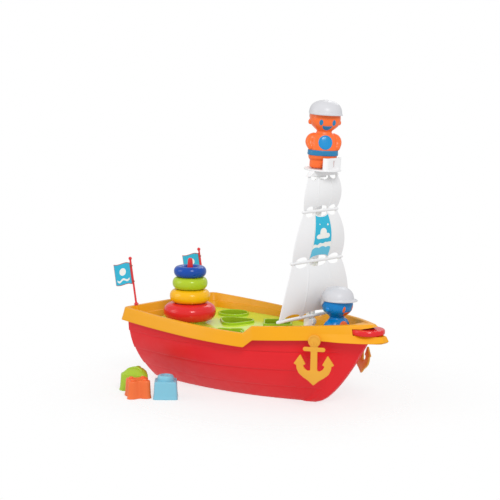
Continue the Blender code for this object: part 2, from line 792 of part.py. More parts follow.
def pole_matrix(side):
    seat = Vector((POLE_X, side * POLE_Y, STERN_RIM_Z))
    return Matrix.Translation(seat) @ Matrix.Rotation(-POLE_RAKE, 4, "Y")


def pole_point(side, height):
    return pole_matrix(side) @ Vector((0, 0, height))


def anchor_matrix(side):
    """The peg's place on the anchor's back: X runs forward, Y up the plate, Z outward.
    The plate hangs plumb and clears the skirt's lower edge."""
    flare, edge_z = skirt_edge(ANCHOR_X)
    edge_x, edge_y = rim_point(ANCHOR_X, -flare)
    next_flare, _ = skirt_edge(ANCHOR_X + TANGENT_STEP)
    next_x, next_y = rim_point(ANCHOR_X + TANGENT_STEP, -next_flare)
    forward = Vector((next_x - edge_x, side * (next_y - edge_y), 0)).normalized()
    outward = Vector((-forward.y, forward.x, 0)) * side
    place_at = Vector((edge_x, side * edge_y, edge_z - ANCHOR_PEG_DROP)) + outward * PLAY
    return Matrix((
        (forward.x, 0, outward.x, place_at.x),
        (forward.y, 0, outward.y, place_at.y),
        (0, 1, 0, place_at.z),
        (0, 0, 0, 1),
    ))


def rounded_polygon(corners, radius, steps=5):
    """An outline with each corner turned into an arc."""
    outline = []
    count = len(corners)
    for i in range(count):
        here = Vector(corners[i])
        before = (Vector(corners[i - 1]) - here).normalized()
        after = (Vector(corners[(i + 1) % count]) - here).normalized()
        half = before.angle(after) / 2
        centre = here + (before + after).normalized() * (radius / sin(half))
        start = here + before * (radius / (sin(half) / cos(half))) - centre
        end = here + after * (radius / (sin(half) / cos(half))) - centre
        first = atan2(start.y, start.x)
        sweep = atan2(end.y, end.x) - first
        sweep = (sweep + pi) % (2 * pi) - pi
        for k in range(steps + 1):
            angle = first + sweep * k / steps
            outline.append((centre.x + radius * cos(angle), centre.y + radius * sin(angle)))
    return outline


def square_outline(size):
    half = size / 2
    corners = ((-half, -half), (half, -half), (half, half), (-half, half))
    return rounded_polygon(corners, 0.006, 3)


def triangle_outline(grow):
    reach = TRIANGLE_RADIUS + 2 * grow + TRIANGLE_CORNER
    corners = [(reach * cos(a), reach * sin(a)) for a in (radians(90), radians(210), radians(330))]
    return rounded_polygon(corners, TRIANGLE_CORNER + grow, 5)


def quatrefoil_outline(grow):
    """A wavy square: four soft lobes at its corners with a dip in the middle of each side."""
    outline = []
    for k in range(QUATREFOIL_STEPS):
        angle = 2 * pi * k / QUATREFOIL_STEPS
        radius = QUATREFOIL_RADIUS - QUATREFOIL_WAVE * cos(4 * angle) + grow
        outline.append((radius * cos(angle), radius * sin(angle)))
    return outline


def hole_outlines(grow):
    """The sorter's four holes, each for its block plus some play, grown by a given width:
    name, place, turn and outline."""
    play = HOLE_PLAY + grow
    return (
        ("round", ROUND_HOLE_AT, radians(0), circle(ROUND_HOLE_RADIUS + grow, 26)),
        ("triangle", TRIANGLE_HOLE_AT, TRIANGLE_HOLE_TURN, triangle_outline(play)),
        ("quatrefoil", QUATREFOIL_HOLE_AT, QUATREFOIL_HOLE_TURN, quatrefoil_outline(play)),
        ("square", SQUARE_HOLE_AT, SQUARE_HOLE_TURN, square_outline(BLOCK_SIZE + 2 * play)),
    )


def turn_and_move(outline, at, turn):
    moved = []
    for x, y in outline:
        moved.append((at[0] + x * cos(turn) - y * sin(turn), at[1] + x * sin(turn) + y * cos(turn)))
    return moved


def make_sorter_plate():
    inset = DECK_WALL_INSET + PLAY
    low = DECK_SEAT_Z + GAP
    top = low + PLATE_THICKNESS
    plate = loft("sorter_plate", [
        rim_outline(inset, low, PLATE_FORE_X),
        rim_outline(inset, top, PLATE_FORE_X),
    ], LIME, 0.2)
    for _, at, turn, outline in hole_outlines(COLLAR_WALL + GAP):
        cut(plate, extrude_outline("hole", turn_and_move(outline, at, turn), low - HOLE_CLEAR, top + HOLE_CLEAR))
    foot = turned("foot", ((0, low + 0.001), (STACK_FOOT_RADIUS, low + 0.001),
                           (STACK_FOOT_RADIUS, top + STACK_FOOT_HEIGHT - 0.0015),
                           (STACK_FOOT_RADIUS - 0.0015, top + STACK_FOOT_HEIGHT),
                           (0, top + STACK_FOOT_HEIGHT)))
    place(foot, Matrix.Translation((*STACK_AT, 0)))
    join(plate, foot)
    bore = rod("bore", (*STACK_AT, low - 0.01), (*STACK_AT, top + 0.02), 0.0035, 12)
    cut(plate, bore)
    recess = rod("recess", (*STACK_AT, low - 0.01), (*STACK_AT, low + 0.003), 0.0065, 16)
    cut(plate, recess)
    reshade(plate)
    return top + STACK_FOOT_HEIGHT


def make_collars():
    """A collar for each hole: it hangs in the plate by a flange, and its chute runs down below the deck."""
    plate_top = DECK_SEAT_Z + GAP + PLATE_THICKNESS
    bottom = DECK_SEAT_Z + GAP - CHUTE_DEPTH
    top = plate_top + COLLAR_HEIGHT
    flange = COLLAR_WALL + COLLAR_FLANGE
    profile = (
        (COLLAR_WALL, bottom),
        (COLLAR_WALL, plate_top + GAP),
        (flange, plate_top + GAP),
        (flange, top - COLLAR_BEVEL),
        (flange - COLLAR_BEVEL, top),
        (0.0, top),
        (0.0, bottom),
    )
    levels = [hole_outlines(grow) for grow, _ in profile]
    for shape, (name, at, turn, _) in enumerate(levels[0]):
        bands = []
        for holes, (_, z) in zip(levels, profile):
            outline = turn_and_move(holes[shape][3], at, turn)
            bands.append([Vector((x, y, z)) for x, y in outline])
        sections = [list(section) for section in zip(*bands)]
        swept_ring("collar_" + name, sections, LIME, 0.2)


def make_ring_stack(seat):
    """The peg on its foot, and the rings resting one on the other."""
    base = seat + GAP
    peg = turned("ring_peg", (
        (0, base), (PEG_BASE_RADIUS, base), (PEG_BASE_RADIUS - 0.0008, base + 0.030),
        (PEG_TOP_RADIUS + 0.0008, PEG_TOP_Z - 0.010), (PEG_TOP_RADIUS, PEG_TOP_Z - 0.004),
        (PEG_TOP_RADIUS * 0.7, PEG_TOP_Z - 0.0012), (0, PEG_TOP_Z),
    ), 20, RED, 0.3)
    place(peg, Matrix.Translation((*STACK_AT, 0)))
    screw_hole = rod("screw_hole", (*STACK_AT, base - 0.01), (*STACK_AT, base + 0.014), 0.0020, 10)
    cut(peg, screw_hole)
    reshade(peg)
    low = DECK_SEAT_Z + GAP
    screw = turned("ring_peg_screw", (
        (0, low + 0.0004), (0.0058, low + 0.0004), (0.0058, low + 0.0027), (0.0017, low + 0.0027),
        (0.0017, base + 0.012), (0, base + 0.013),
    ), 12, STEEL, 0.35, 1.0)
    place(screw, Matrix.Translation((*STACK_AT, 0)))
    centre = base
    for name, outer, height in RINGS:
        half = height / 2
        middle = (outer + RING_BORE) / 2
        reach = (outer - RING_BORE) / 2
        profile = []
        for k in range(RING_PROFILE_SIDES):
            angle = 2 * pi * (k + 0.5) / RING_PROFILE_SIDES
            across = copysign(abs(cos(angle)) ** 0.88, cos(angle))
            profile.append((middle + reach * across, half * sin(angle) / cos(pi / RING_PROFILE_SIDES)))
        colour = {"ring_red": RED, "ring_yellow": YELLOW, "ring_green": LIME, "ring_blue": BLUE}[name]
        ring = turned(name, profile, 26, colour, 0.28)
        place(ring, Matrix.Translation((*STACK_AT, centre + half)))
        origin_to(ring, (*STACK_AT, centre + half))
        centre += height + GAP


def make_flags():
    for side, word in ((-1, "starboard"), (1, "port")):
        matrix = pole_matrix(side)
        ball = POLE_LENGTH
        profile = [(0, -POLE_SOCKET_DEPTH), (POLE_RADIUS, -POLE_SOCKET_DEPTH), (POLE_RADIUS, POLE_COLLAR_LIFT),
                   (POLE_COLLAR_RADIUS, POLE_COLLAR_LIFT), (POLE_COLLAR_RADIUS * 0.9, 0.0036), (POLE_RADIUS, 0.0072),
                   (POLE_RADIUS * 0.9, ball - POLE_BALL_RADIUS * 0.8)]
        for angle in (-40, -10, 20, 50, 75):
            a = radians(angle)
            profile.append((POLE_BALL_RADIUS * cos(a), ball + POLE_BALL_RADIUS * sin(a)))
        profile.append((0, ball + POLE_BALL_RADIUS))
        pole = turned("flagpole_" + word, profile, 14, RED, 0.3)
        place(pole, matrix)
        origin_to(pole, matrix.translation)
        make_flag("flag_" + word, matrix)


def make_flag(name, matrix):
    """A stiff waving panel with a sleeve that clips round the pole."""
    top = POLE_LENGTH - FLAG_TOP_BELOW_BALL
    bottom = top - FLAG_HEIGHT
    start = POLE_RADIUS + GAP
    columns = 14
    front = []
    for k in range(columns + 1):
        share = k / columns
        x = -start - FLAG_LENGTH * share
        lift = FLAG_WAVE * sin(2 * pi * share * 0.95) * min(1.0, share * 4)
        front.append((x, 0.6 * lift, lift))
    points = []
    for x, sway, lift in front:
        for y in (-FLAG_THICKNESS / 2, FLAG_THICKNESS / 2):
            for z in (bottom + lift * 0.5, top + lift * 0.5):
                points.append(matrix @ Vector((x, sway + y, z)))
    faces = []
    for k in range(columns):
        a = 4 * k
        b = a + 4
        faces += [(a, a + 1, b + 1, b), (a + 2, b + 2, b + 3, a + 3), (a + 1, a + 3, b + 3, b + 1),
                  (a, b, b + 2, a + 2)]
    last = 4 * columns
    faces += [(0, 2, 3, 1), (last, last + 1, last + 3, last + 2)]
    flag = make_object(name, points, faces, CYAN, 0.4)
    for height in (bottom + 0.004, top - 0.009):
        sleeve = turned("sleeve", ((POLE_RADIUS + GAP, height), (POLE_RADIUS + 0.0016, height),
                                   (POLE_RADIUS + 0.0016, height + 0.005), (POLE_RADIUS + GAP, height + 0.005)), 14)
        place(sleeve, matrix)
        join(flag, sleeve)
    reshade(flag)
    origin_to(flag, matrix.translation)


def yard_x():
    return RIB_FRONT + GAP + YARD_RADIUS


def make_mast():
    """The post that plugs into the mast step, and two ribs that carry the yards in their front."""
    matrix = mast_matrix()
    mast = turned("mast", (
        (0, 0), (POST_RADIUS - 0.001, 0), (POST_RADIUS, 0.001), (POST_RADIUS, POST_TOP),
        (POST_RADIUS - 0.002, POST_TOP + 0.002), (0, POST_TOP + 0.002),
    ), 24, WHITE, 0.42)
    for side in (-1, 1):
        centre = side * RIB_SPACING / 2
        rib = box("rib", (RIB_FRONT - RIB_DEPTH, centre - RIB_WIDTH / 2, POST_TOP - 0.004),
                  (RIB_FRONT, centre + RIB_WIDTH / 2, MAST_TOP))
        join(mast, rib)
    tie_half = RIB_SPACING / 2 + RIB_WIDTH / 2 - 0.0005
    for _, height, _ in YARDS[1:]:
        tie = box("tie", (RIB_FRONT - RIB_DEPTH + 0.001, -tie_half, height - 0.003),
                  (RIB_FRONT - 0.001, tie_half, height + 0.003))
        join(mast, tie)
    cap = box("cap", (RIB_FRONT - RIB_DEPTH + 0.0005, -tie_half, MAST_TOP - 0.006),
              (RIB_FRONT - 0.0005, tie_half, MAST_TOP - 0.0008))
    join(mast, cap)
    bracket = box("bracket", (RIB_FRONT - 0.002, -0.008, POST_TOP - 0.012),
                  (POST_RADIUS + 0.004, 0.008, POST_TOP + 0.0005))
    join(mast, bracket)
    reshade(mast)
    place(mast, matrix)
    origin_to(mast, matrix.translation)


def make_yards():
    """Round yards with turned-down ends, each pinned to the ribs by a stub behind it."""
    matrix = mast_matrix()
    across = Matrix.Rotation(-pi / 2, 4, "X")
    for name, height, half in YARDS:
        end = YARD_RADIUS * 0.62
        profile = ((0, -half), (end, -half), (YARD_RADIUS * 0.9, -half + 0.0022), (YARD_RADIUS, -half + 0.006),
                   (YARD_RADIUS, half - 0.006), (YARD_RADIUS * 0.9, half - 0.0022), (end, half), (0, half))
        yard = turned(name, profile, 12, WHITE, 0.42)
        place(yard, matrix @ Matrix.Translation((yard_x(), 0, height)) @ across)
        origin_to(yard, matrix @ Vector((yard_x(), 0, height)))


def sail_columns():
    """Shares across a sail, and how deep its edge is cut there: three slots between four tabs."""
    tabs = ((-1.0, -0.86), (-0.42, -0.34), (0.34, 0.42), (0.86, 1.0))
    columns = []
    for k, (start, end) in enumerate(tabs):
        columns.append((start, 0.0))
        columns.append((end, 0.0))
        if k + 1 < len(tabs):
            after = tabs[k + 1][0]
            for share in (0.07, 0.27, 0.5, 0.73, 0.93):
                depth = sqrt(max(0.0, 1 - (2 * share - 1) ** 2))
                columns.append((end + (after - end) * share, depth))
    return columns


def sail_point(share, rise, low, high, roach, slot, front):
    """A point of a sail. low and high are its edges' height and half width."""
    bottom = low[0] + YARD_RADIUS + GAP + SLOT_DEPTH * slot
    top = high[0] - YARD_RADIUS - GAP - SLOT_DEPTH * slot
    z = bottom + (top - bottom) * rise
    overall = (z - low[0]) / (high[0] - low[0])
    swell = 4 * overall * (1 - overall)
    half = low[1] + (high[1] - low[1]) * overall - 0.006 + roach * swell
    belly = (SAIL_EDGE_BELLY + (SAIL_BELLY - SAIL_EDGE_BELLY) * (1 - share ** 2)) * swell
    return Vector((yard_x() + belly + front, share * half, z))


def sail_panel(name, low, high, roach, columns, rises, thickness, offset, colour, roughness):
    points = []
    for front in (offset, offset + thickness):
        for rise in rises:
            for share, slot in columns:
                points.append(sail_point(share, rise, low, high, roach, slot, front))
    wide = len(columns)
    tall = len(rises)
    sheet = wide * tall
    faces = []
    for r in range(tall - 1):
        for c in range(wide - 1):
            a = r * wide + c
            faces.append((a, a + wide, a + wide + 1, a + 1))
            faces.append((a + sheet, a + 1 + sheet, a + wide + 1 + sheet, a + wide + sheet))
    for c in range(wide - 1):
        top = (tall - 1) * wide + c
        faces.append((c, c + 1, c + 1 + sheet, c + sheet))
        faces.append((top, top + sheet, top + 1 + sheet, top + 1))
    for r in range(tall - 1):
        left = r * wide
        right = left + wide - 1
        faces.append((left, left + sheet, left + wide + sheet, left + wide))
        faces.append((right, right + wide, right + wide + sheet, right + sheet))
    panel = make_object(name, points, faces, colour, roughness)
    place(panel, mast_matrix())
    return panel


def sail_edges(index):
    """Height and half width of the yards below and above a sail."""
    low = YARDS[index][1:]
    high = YARDS[index + 1][1:] if index + 1 < len(YARDS) else (HEAD_AT + YARD_RADIUS, HEAD_HALF)
    return low, high


def make_sails():
    rises = [k / 6 for k in range(7)]
    for index, (name, roach) in enumerate(SAILS):
        low, high = sail_edges(index)
        sail = sail_panel(name, low, high, roach, sail_columns(), rises, SAIL_THICKNESS,
                          -SAIL_THICKNESS / 2, WHITE, 0.42)
        origin_to(sail, mast_point(yard_x(), 0, low[0]))


def make_banner():
    """The printed sticker down the middle of the sail between the yards."""
    low, high = sail_edges(1)
    rises = [BANNER_MARGIN + (1 - 2 * BANNER_MARGIN) * k / 8 for k in range(9)]
    columns = []
    for k in range(7):
        share = BANNER_SHARE * (k / 3 - 1)
        columns.append((share, sqrt(max(0.0, 1 - (share / BANNER_SHARE) ** 2))))
    banner = sail_panel("sail_banner", low, high, SAILS[1][1], columns, rises, BANNER_THICKNESS,
                        SAIL_THICKNESS / 2 + GAP, CYAN, 0.4)
    origin_to(banner, mast_point(yard_x(), 0, low[0]))


def make_nest():
    """The look-out platform on the mast's head, with its front wall and the head yard's bracket."""
    matrix = mast_matrix() @ Matrix.Translation((NEST_FORWARD, 0, NEST_AT))
    floor = NEST_FLOOR
    nest = turned("crows_nest", (
        (0, -floor), (NEST_RADIUS - 0.002, -floor), (NEST_RADIUS, -floor + 0.0012), (NEST_RADIUS, -0.0008),
        (NEST_RADIUS - 0.0008, 0), (0, 0),
    ), 32, WHITE, 0.42)
    wall = extrude_outline("wall", wall_outline(), -0.001, NEST_WALL_HEIGHT)
    join(nest, wall)
    slit = box("slit", (NEST_WALL_X - 0.006, -NEST_SLOT_WIDTH / 2, 0.005),
               (NEST_WALL_X + 0.006, NEST_SLOT_WIDTH / 2, NEST_WALL_HEIGHT - 0.005))
    cut(nest, slit)
    beam_bottom = HEAD_AT - NEST_AT
    forward = yard_x() - NEST_FORWARD
    corners = ((-1, -1), (1, -1), (1, 1), (-1, 1))
    beam = loft("beam", [
        [Vector((forward + x * 0.005, y * HEAD_HALF, beam_bottom)) for x, y in corners],
        [Vector((forward + x * 0.007, y * NEST_RADIUS * 0.95, -floor + 0.001)) for x, y in corners],
    ])
    join(nest, beam)
    socket_half = RIB_SPACING / 2 + RIB_WIDTH / 2 + 0.0025
    back = RIB_FRONT - RIB_DEPTH - 0.0025 - NEST_FORWARD
    socket = box("socket", (back, -socket_half, beam_bottom - 0.004), (forward, socket_half, -floor + 0.001))
    join(nest, socket)
    mast_half = RIB_SPACING / 2 + RIB_WIDTH / 2 + GAP
    hollow = box("hollow", (RIB_FRONT - RIB_DEPTH - GAP - NEST_FORWARD, -mast_half, beam_bottom - 0.01),
                 (RIB_FRONT + GAP - NEST_FORWARD, mast_half, MAST_TOP - NEST_AT + GAP))
    cut(nest, hollow)
    reshade(nest)
    place(nest, matrix)
    origin_to(nest, matrix.translation)


def wall_outline():
    """The nest's wall from above: a flat front whose ends turn back round the feet."""
    outer = NEST_WALL_X
    inner = NEST_WALL_X - NEST_WALL
    half = NEST_WALL_HALF
    back = NEST_WALL_X - NEST_RETURN
    return ((back, -half), (outer - 0.005, -half), (outer - 0.0012, -half + 0.0014), (outer, -half + 0.005),
            (outer, half - 0.005), (outer - 0.0012, half - 0.0014), (outer - 0.005, half), (back, half),
            (back, half - NEST_WALL), (inner - 0.003, half - NEST_WALL), (inner, half - NEST_WALL - 0.003),
            (inner, -half + NEST_WALL + 0.003), (inner - 0.003, -half + NEST_WALL), (back, -half + NEST_WALL))


def sailor_rings():
    """The sailor's sections with one more between each pair of the head's."""
    rings = []
    for k, section in enumerate(SAILOR_SECTIONS):
        rings.append(section)
        if k + 1 < len(SAILOR_SECTIONS) and section[0] > SAILOR_NECK_Z:
            after = SAILOR_SECTIONS[k + 1]
            middle = [(a + b) / 2 for a, b in zip(section, after)]
            middle[1] += SAILOR_ROUNDING
            middle[2] += SAILOR_ROUNDING
            rings.append(tuple(middle))
    return rings


def sailor_section(z):
    """Half width, half depth and forward shift at a height."""
    rings = sailor_rings()
    for low, high in zip(rings, rings[1:]):
        if z <= high[0]:
            share = max(0.0, (z - low[0]) / (high[0] - low[0]))
            return [a + (b - a) * share for a, b in zip(low[1:], high[1:])]
    return list(rings[-1][1:])


def sailor_edge(angle, z, grow=0.0):
    """A point of the sailor's surface at an angle from the front, pushed outward by grow."""
    width, depth, shift = sailor_section(z)
    across = copysign(abs(sin(angle)) ** SAILOR_SQUARENESS, sin(angle))
    along = copysign(abs(cos(angle)) ** SAILOR_SQUARENESS, cos(angle))
    return Vector((shift + (depth + grow) * along, (width + grow) * across, z))


def sailor_front(y, z):
    """How far forward the sailor's surface is at a place seen from the front."""
    width, depth, shift = sailor_section(z)
    power = 2 / SAILOR_SQUARENESS
    return shift + depth * (1 - min(1.0, abs(y) / width) ** power) ** (1 / power)


def face_patch(name, outline, middle_z, proud, colour, matrix):
    """A printed or inlaid piece that follows the sailor's front. The outline is y and z offsets."""
    points = []
    for lift in (PATCH_GAP, PATCH_GAP + proud):
        centre_y = sum(y for y, _ in outline) / len(outline)
        centre_z = middle_z + sum(z for _, z in outline) / len(outline)
        points.append((sailor_front(centre_y, centre_z) + lift, centre_y, centre_z))
        for scale in (0.5, 1.0):
            for y, z in outline:
                py = centre_y + (y - centre_y) * scale
                pz = centre_z + (middle_z + z - centre_z) * scale
                points.append((sailor_front(py, pz) + lift, py, pz))
    count = len(outline)
    sheet = 1 + 2 * count
    faces = []
    for i in range(count):
        j = (i + 1) % count
        inner, inner_next = 1 + i, 1 + j
        outer, outer_next = inner + count, inner_next + count
        faces.append((0, inner_next, inner))
        faces.append((inner, inner_next, outer_next, outer))
        faces.append((sheet, inner + sheet, inner_next + sheet))
        faces.append((inner + sheet, outer + sheet, outer_next + sheet, inner_next + sheet))
        faces.append((outer, outer_next, outer_next + sheet, outer + sheet))
    patch = make_object(name, points, faces, colour, 0.35)
    place(patch, matrix)
    origin_to(patch, matrix.translation)


def make_sailor_body(name, colour, matrix):
    rings = []
    for section in sailor_rings():
        ring = []
        for s in range(SAILOR_SIDES):
            ring.append(sailor_edge(2 * pi * s / SAILOR_SIDES, section[0]))
        rings.append(ring)
    body = loft(name, rings, colour, 0.36)
    for side in (-1, 1):
        ear = turned("ear", ((0, 0), (EAR_RADIUS, 0), (EAR_RADIUS, EAR_DEPTH * 0.6), (EAR_RADIUS * 0.7, EAR_DEPTH),
                             (0, EAR_DEPTH)), 12)
        turn = Matrix.Rotation(-side * pi / 2, 4, "X")
        place(ear, Matrix.Translation((EAR_X, side * (EAR_REACH - EAR_DEPTH), EAR_Z)) @ turn)
        join(body, ear)
    legs = box("legs", (-0.04, -LEG_GAP / 2, -0.001), (0.04, LEG_GAP / 2, LEG_HEIGHT))
    cut(body, legs)
    reshade(body)
    place(body, matrix)
    origin_to(body, matrix.translation)


def make_sailor_belt(name, colour, matrix):
    sections = []
    for s in range(SAILOR_SIDES):
        angle = 2 * pi * s / SAILOR_SIDES
        sections.append([
            sailor_edge(angle, BELT_BOTTOM, GAP),
            sailor_edge(angle, BELT_BOTTOM, BELT_PROUD),
            sailor_edge(angle, BELT_TOP, BELT_PROUD),
            sailor_edge(angle, BELT_TOP, GAP),
        ])
    belt = swept_ring(name, sections, colour, 0.36)
    place(belt, matrix)
    origin_to(belt, matrix.translation)


def cap_column(angle):
    """The cap in section at one angle from the front: up its lining and down its outside."""
    front = max(0.0, cos(angle))
    rear = min(1.0, max(0.0, (-cos(angle) - CAP_FLAP_STARTS) / (CAP_FLAP_FULL - CAP_FLAP_STARTS)))
    edge = CAP_EDGE_Z - CAP_FLAP * rear
    lining = []
    for k in range(3):
        lining.append(sailor_edge(angle, edge + (CAP_LINING[0] - edge) * k / 3, PLAY))
    for z in CAP_LINING:
        lining.append(sailor_edge(angle, z, PLAY))
    outside = []
    for z, share in CAP_OUTSIDE:
        outside.append(Vector((0.001 + CAP_HALF_WIDTH * share * cos(angle), CAP_HALF_WIDTH * share * sin(angle), z)))
    brim = CAP_BRIM * front ** 1.5
    rim = sailor_edge(angle, edge, PLAY + CAP_WALL + brim)
    upper = Vector((0.001 + (CAP_HALF_WIDTH + brim) * cos(angle), (CAP_HALF_WIDTH + brim) * sin(angle),
                    CAP_EDGE_Z + CAP_WALL - CAP_FLAP * rear * 0.5))
    return lining, outside + [upper, rim]


def make_sailor_cap(name, matrix):
    points = [Vector((0.001, 0, CAP_LINING_TOP)), Vector((0.001, 0, CAP_TOP_Z))]
    rows = []
    for s in range(SAILOR_SIDES):
        lining, outside = cap_column(2 * pi * s / SAILOR_SIDES)
        rows.append((len(points), len(points) + len(lining)))
        points += lining + outside
    count = len(lining)
    outer_count = len(outside)
    faces = []
    for s in range(SAILOR_SIDES):
        inner, outer = rows[s]
        next_inner, next_outer = rows[(s + 1) % SAILOR_SIDES]
        for k in range(count - 1):
            faces.append((inner + k, inner + k + 1, next_inner + k + 1, next_inner + k))
        faces.append((inner + count - 1, 0, next_inner + count - 1))
        faces.append((1, outer, next_outer))
        for k in range(outer_count - 1):
            faces.append((outer + k, outer + k + 1, next_outer + k + 1, next_outer + k))
        faces.append((outer + outer_count - 1, inner, next_inner, next_outer + outer_count - 1))
    cap = make_object(name, points, faces, WHITE, 0.42)
    place(cap, matrix)
    origin_to(cap, matrix.translation)


def ellipse_outline(half_y, half_z, shift_y=0.0):
    return [(shift_y + half_y * cos(2 * pi * k / 12), half_z * sin(2 * pi * k / 12)) for k in range(12)]


def mouth_outline():
    """A half moon with its straight edge up."""
    outline = [(MOUTH_HALF_WIDTH * (1 - 2 * k / 5), 0.0) for k in range(6)]
    for k in range(1, 8):
        angle = pi + pi * k / 8
        outline.append((MOUTH_HALF_WIDTH * cos(angle), MOUTH_HEIGHT * sin(angle)))
    return outline


def make_sailor(word, matrix, colour, trim, belly, belt):
    name = "sailor_" + word
    make_sailor_body(name + "_body", colour, matrix)
    make_sailor_belt(name + "_belt", belt, matrix)
    make_sailor_cap(name + "_cap", matrix)
    face_patch(name + "_eye_left", ellipse_outline(EYE_HALF_WIDTH, EYE_HALF_HEIGHT, EYE_HALF_SPACING),
               EYE_Z, INLAY_PROUD, trim, matrix)
    face_patch(name + "_eye_right", ellipse_outline(EYE_HALF_WIDTH, EYE_HALF_HEIGHT, -EYE_HALF_SPACING),
               EYE_Z, INLAY_PROUD, trim, matrix)
    face_patch(name + "_mouth", mouth_outline(), MOUTH_Z, INLAY_PROUD, trim, matrix)
    face_patch(name + "_belly", ellipse_outline(BELLY_RADIUS, BELLY_RADIUS), BELLY_Z, BELLY_PROUD, belly, matrix)


def make_sailors():
    orange = mast_matrix() @ Matrix.Translation((NEST_FORWARD - NEST_SAILOR_BACK, 0, NEST_AT + NEST_STANDING_GAP))
    make_sailor("orange", orange @ Matrix.Rotation(ORANGE_SAILOR_TURN, 4, "Z"), ORANGE, TEAL, BELLY_BLUE, TEAL)
    blue = Matrix.Translation((BLUE_SAILOR_X, 0, WELL_FLOOR_Z + GAP))
    make_sailor("blue", blue, BLUE, ORANGE, ORANGE, TEAL)


def anchor_half():
    """The anchor's forward half from the top of its head to its bottom point, about the head's centre."""
    half = []
    for k in range(8):
        angle = radians(90 - k * 20)
        if ANCHOR_HEAD_RADIUS * sin(angle) > -0.0104:
            half.append((ANCHOR_HEAD_RADIUS * cos(angle), ANCHOR_HEAD_RADIUS * sin(angle)))
    stock_top = -ANCHOR_STOCK_DROP + ANCHOR_STOCK_HEIGHT / 2
    stock_bottom = -ANCHOR_STOCK_DROP - ANCHOR_STOCK_HEIGHT / 2
    half.append((ANCHOR_SHANK_HALF, stock_top))
    round_end = ANCHOR_STOCK_HEIGHT / 2
    for k in range(6):
        angle = radians(90 - k * 36)
        half.append((ANCHOR_STOCK_HALF - round_end + round_end * cos(angle), -ANCHOR_STOCK_DROP + round_end * sin(angle)))
    half.append((ANCHOR_SHANK_HALF, stock_bottom))
    return half + list(ANCHOR_ARM)


def make_anchors():
    for side, word in ((-1, "starboard"), (1, "port")):
        matrix = anchor_matrix(side)
        half = anchor_half()
        outline = half + [(-x, y) for x, y in reversed(half[1:-1])]
        outline = [(x, y + ANCHOR_PEG_DROP) for x, y in outline]
        anchor = loft("anchor_" + word, [
            [Vector((x, y, 0)) for x, y in outline],
            [Vector((x, y, ANCHOR_THICKNESS)) for x, y in outline],
        ], ANCHOR_YELLOW, 0.38)
        bore = turned("bore", ((0, -0.002), (ANCHOR_BORE, -0.002), (ANCHOR_BORE, 0.01), (0, 0.01)), 16)
        cut(anchor, bore)
        reshade(anchor)
        place(anchor, matrix)
        origin_to(anchor, matrix.translation)
        top = ANCHOR_THICKNESS + GAP
        peg = turned("anchor_peg_" + word, (
            (0, -ANCHOR_PEG_LENGTH), (ANCHOR_PEG_RADIUS, -ANCHOR_PEG_LENGTH), (ANCHOR_PEG_RADIUS, -ANCHOR_COLLAR_REACH),
            (ANCHOR_PEG_COLLAR, -ANCHOR_COLLAR_REACH), (ANCHOR_PEG_COLLAR, -GAP), (ANCHOR_PEG_RADIUS, -GAP),
            (ANCHOR_PEG_RADIUS, top), (ANCHOR_PEG_COLLAR, top), (ANCHOR_PEG_COLLAR * 0.8, top + 0.0009),
            (0, top + 0.0012),
        ), 16, ANCHOR_YELLOW, 0.38)
        place(peg, matrix)
        origin_to(peg, matrix.translation)


def make_bow_disc():
    """The red disc that spins on a pin in the nose's slot."""
    middle = (LIP_TOP_Z + TONGUE_BOTTOM_Z) / 2
    half = DISC_THICKNESS / 2
    bore = DISC_PIN_RADIUS + PLAY
    disc = turned("bow_disc", (
        (bore, -half), (DISC_RADIUS - 0.0032, -half), (DISC_RADIUS - 0.0008, -half * 0.62), (DISC_RADIUS, 0),
        (DISC_RADIUS - 0.0008, half * 0.62), (DISC_RADIUS - 0.0032, half), (bore, half),
    ), 40, RED, 0.25)
    disc.location = (DISC_X, 0, middle)
    pin = turned("bow_disc_pin", (
        (0, LIP_BOTTOM_Z + PIN_SEAT + GAP), (DISC_PIN_RADIUS, LIP_BOTTOM_Z + PIN_SEAT + GAP),
        (DISC_PIN_RADIUS, TONGUE_BOTTOM_Z + PIN_SEAT - GAP), (0, TONGUE_BOTTOM_Z + PIN_SEAT - GAP),
    ), 16, YELLOW, 0.35)
    place(pin, Matrix.Translation((DISC_X, 0, 0)))
    origin_to(pin, (DISC_X, 0, middle))


def scaled(outline, factor):
    return [(x * factor, y * factor) for x, y in outline]


def block_shell(name, outline, colour):
    """A block's body: a flared foot, tapering sides and a rounded top edge, open below."""
    rings = []
    for share, factor in BLOCK_SIDES:
        rings.append([Vector((x, y, BLOCK_HEIGHT * share)) for x, y in scaled(outline, factor)])
    return loft(name, rings, colour, 0.36)


def hollow_block(block, outline):
    inner = scaled(outline, BLOCK_HOLLOW)
    cut(block, extrude_outline("hollow", inner, -0.001, BLOCK_HEIGHT - BLOCK_WALL))


def stand_block(block, at, turn):
    reshade(block)
    place(block, Matrix.Translation((*at, 0)) @ Matrix.Rotation(turn, 4, "Z"))
    origin_to(block, (*at, 0))


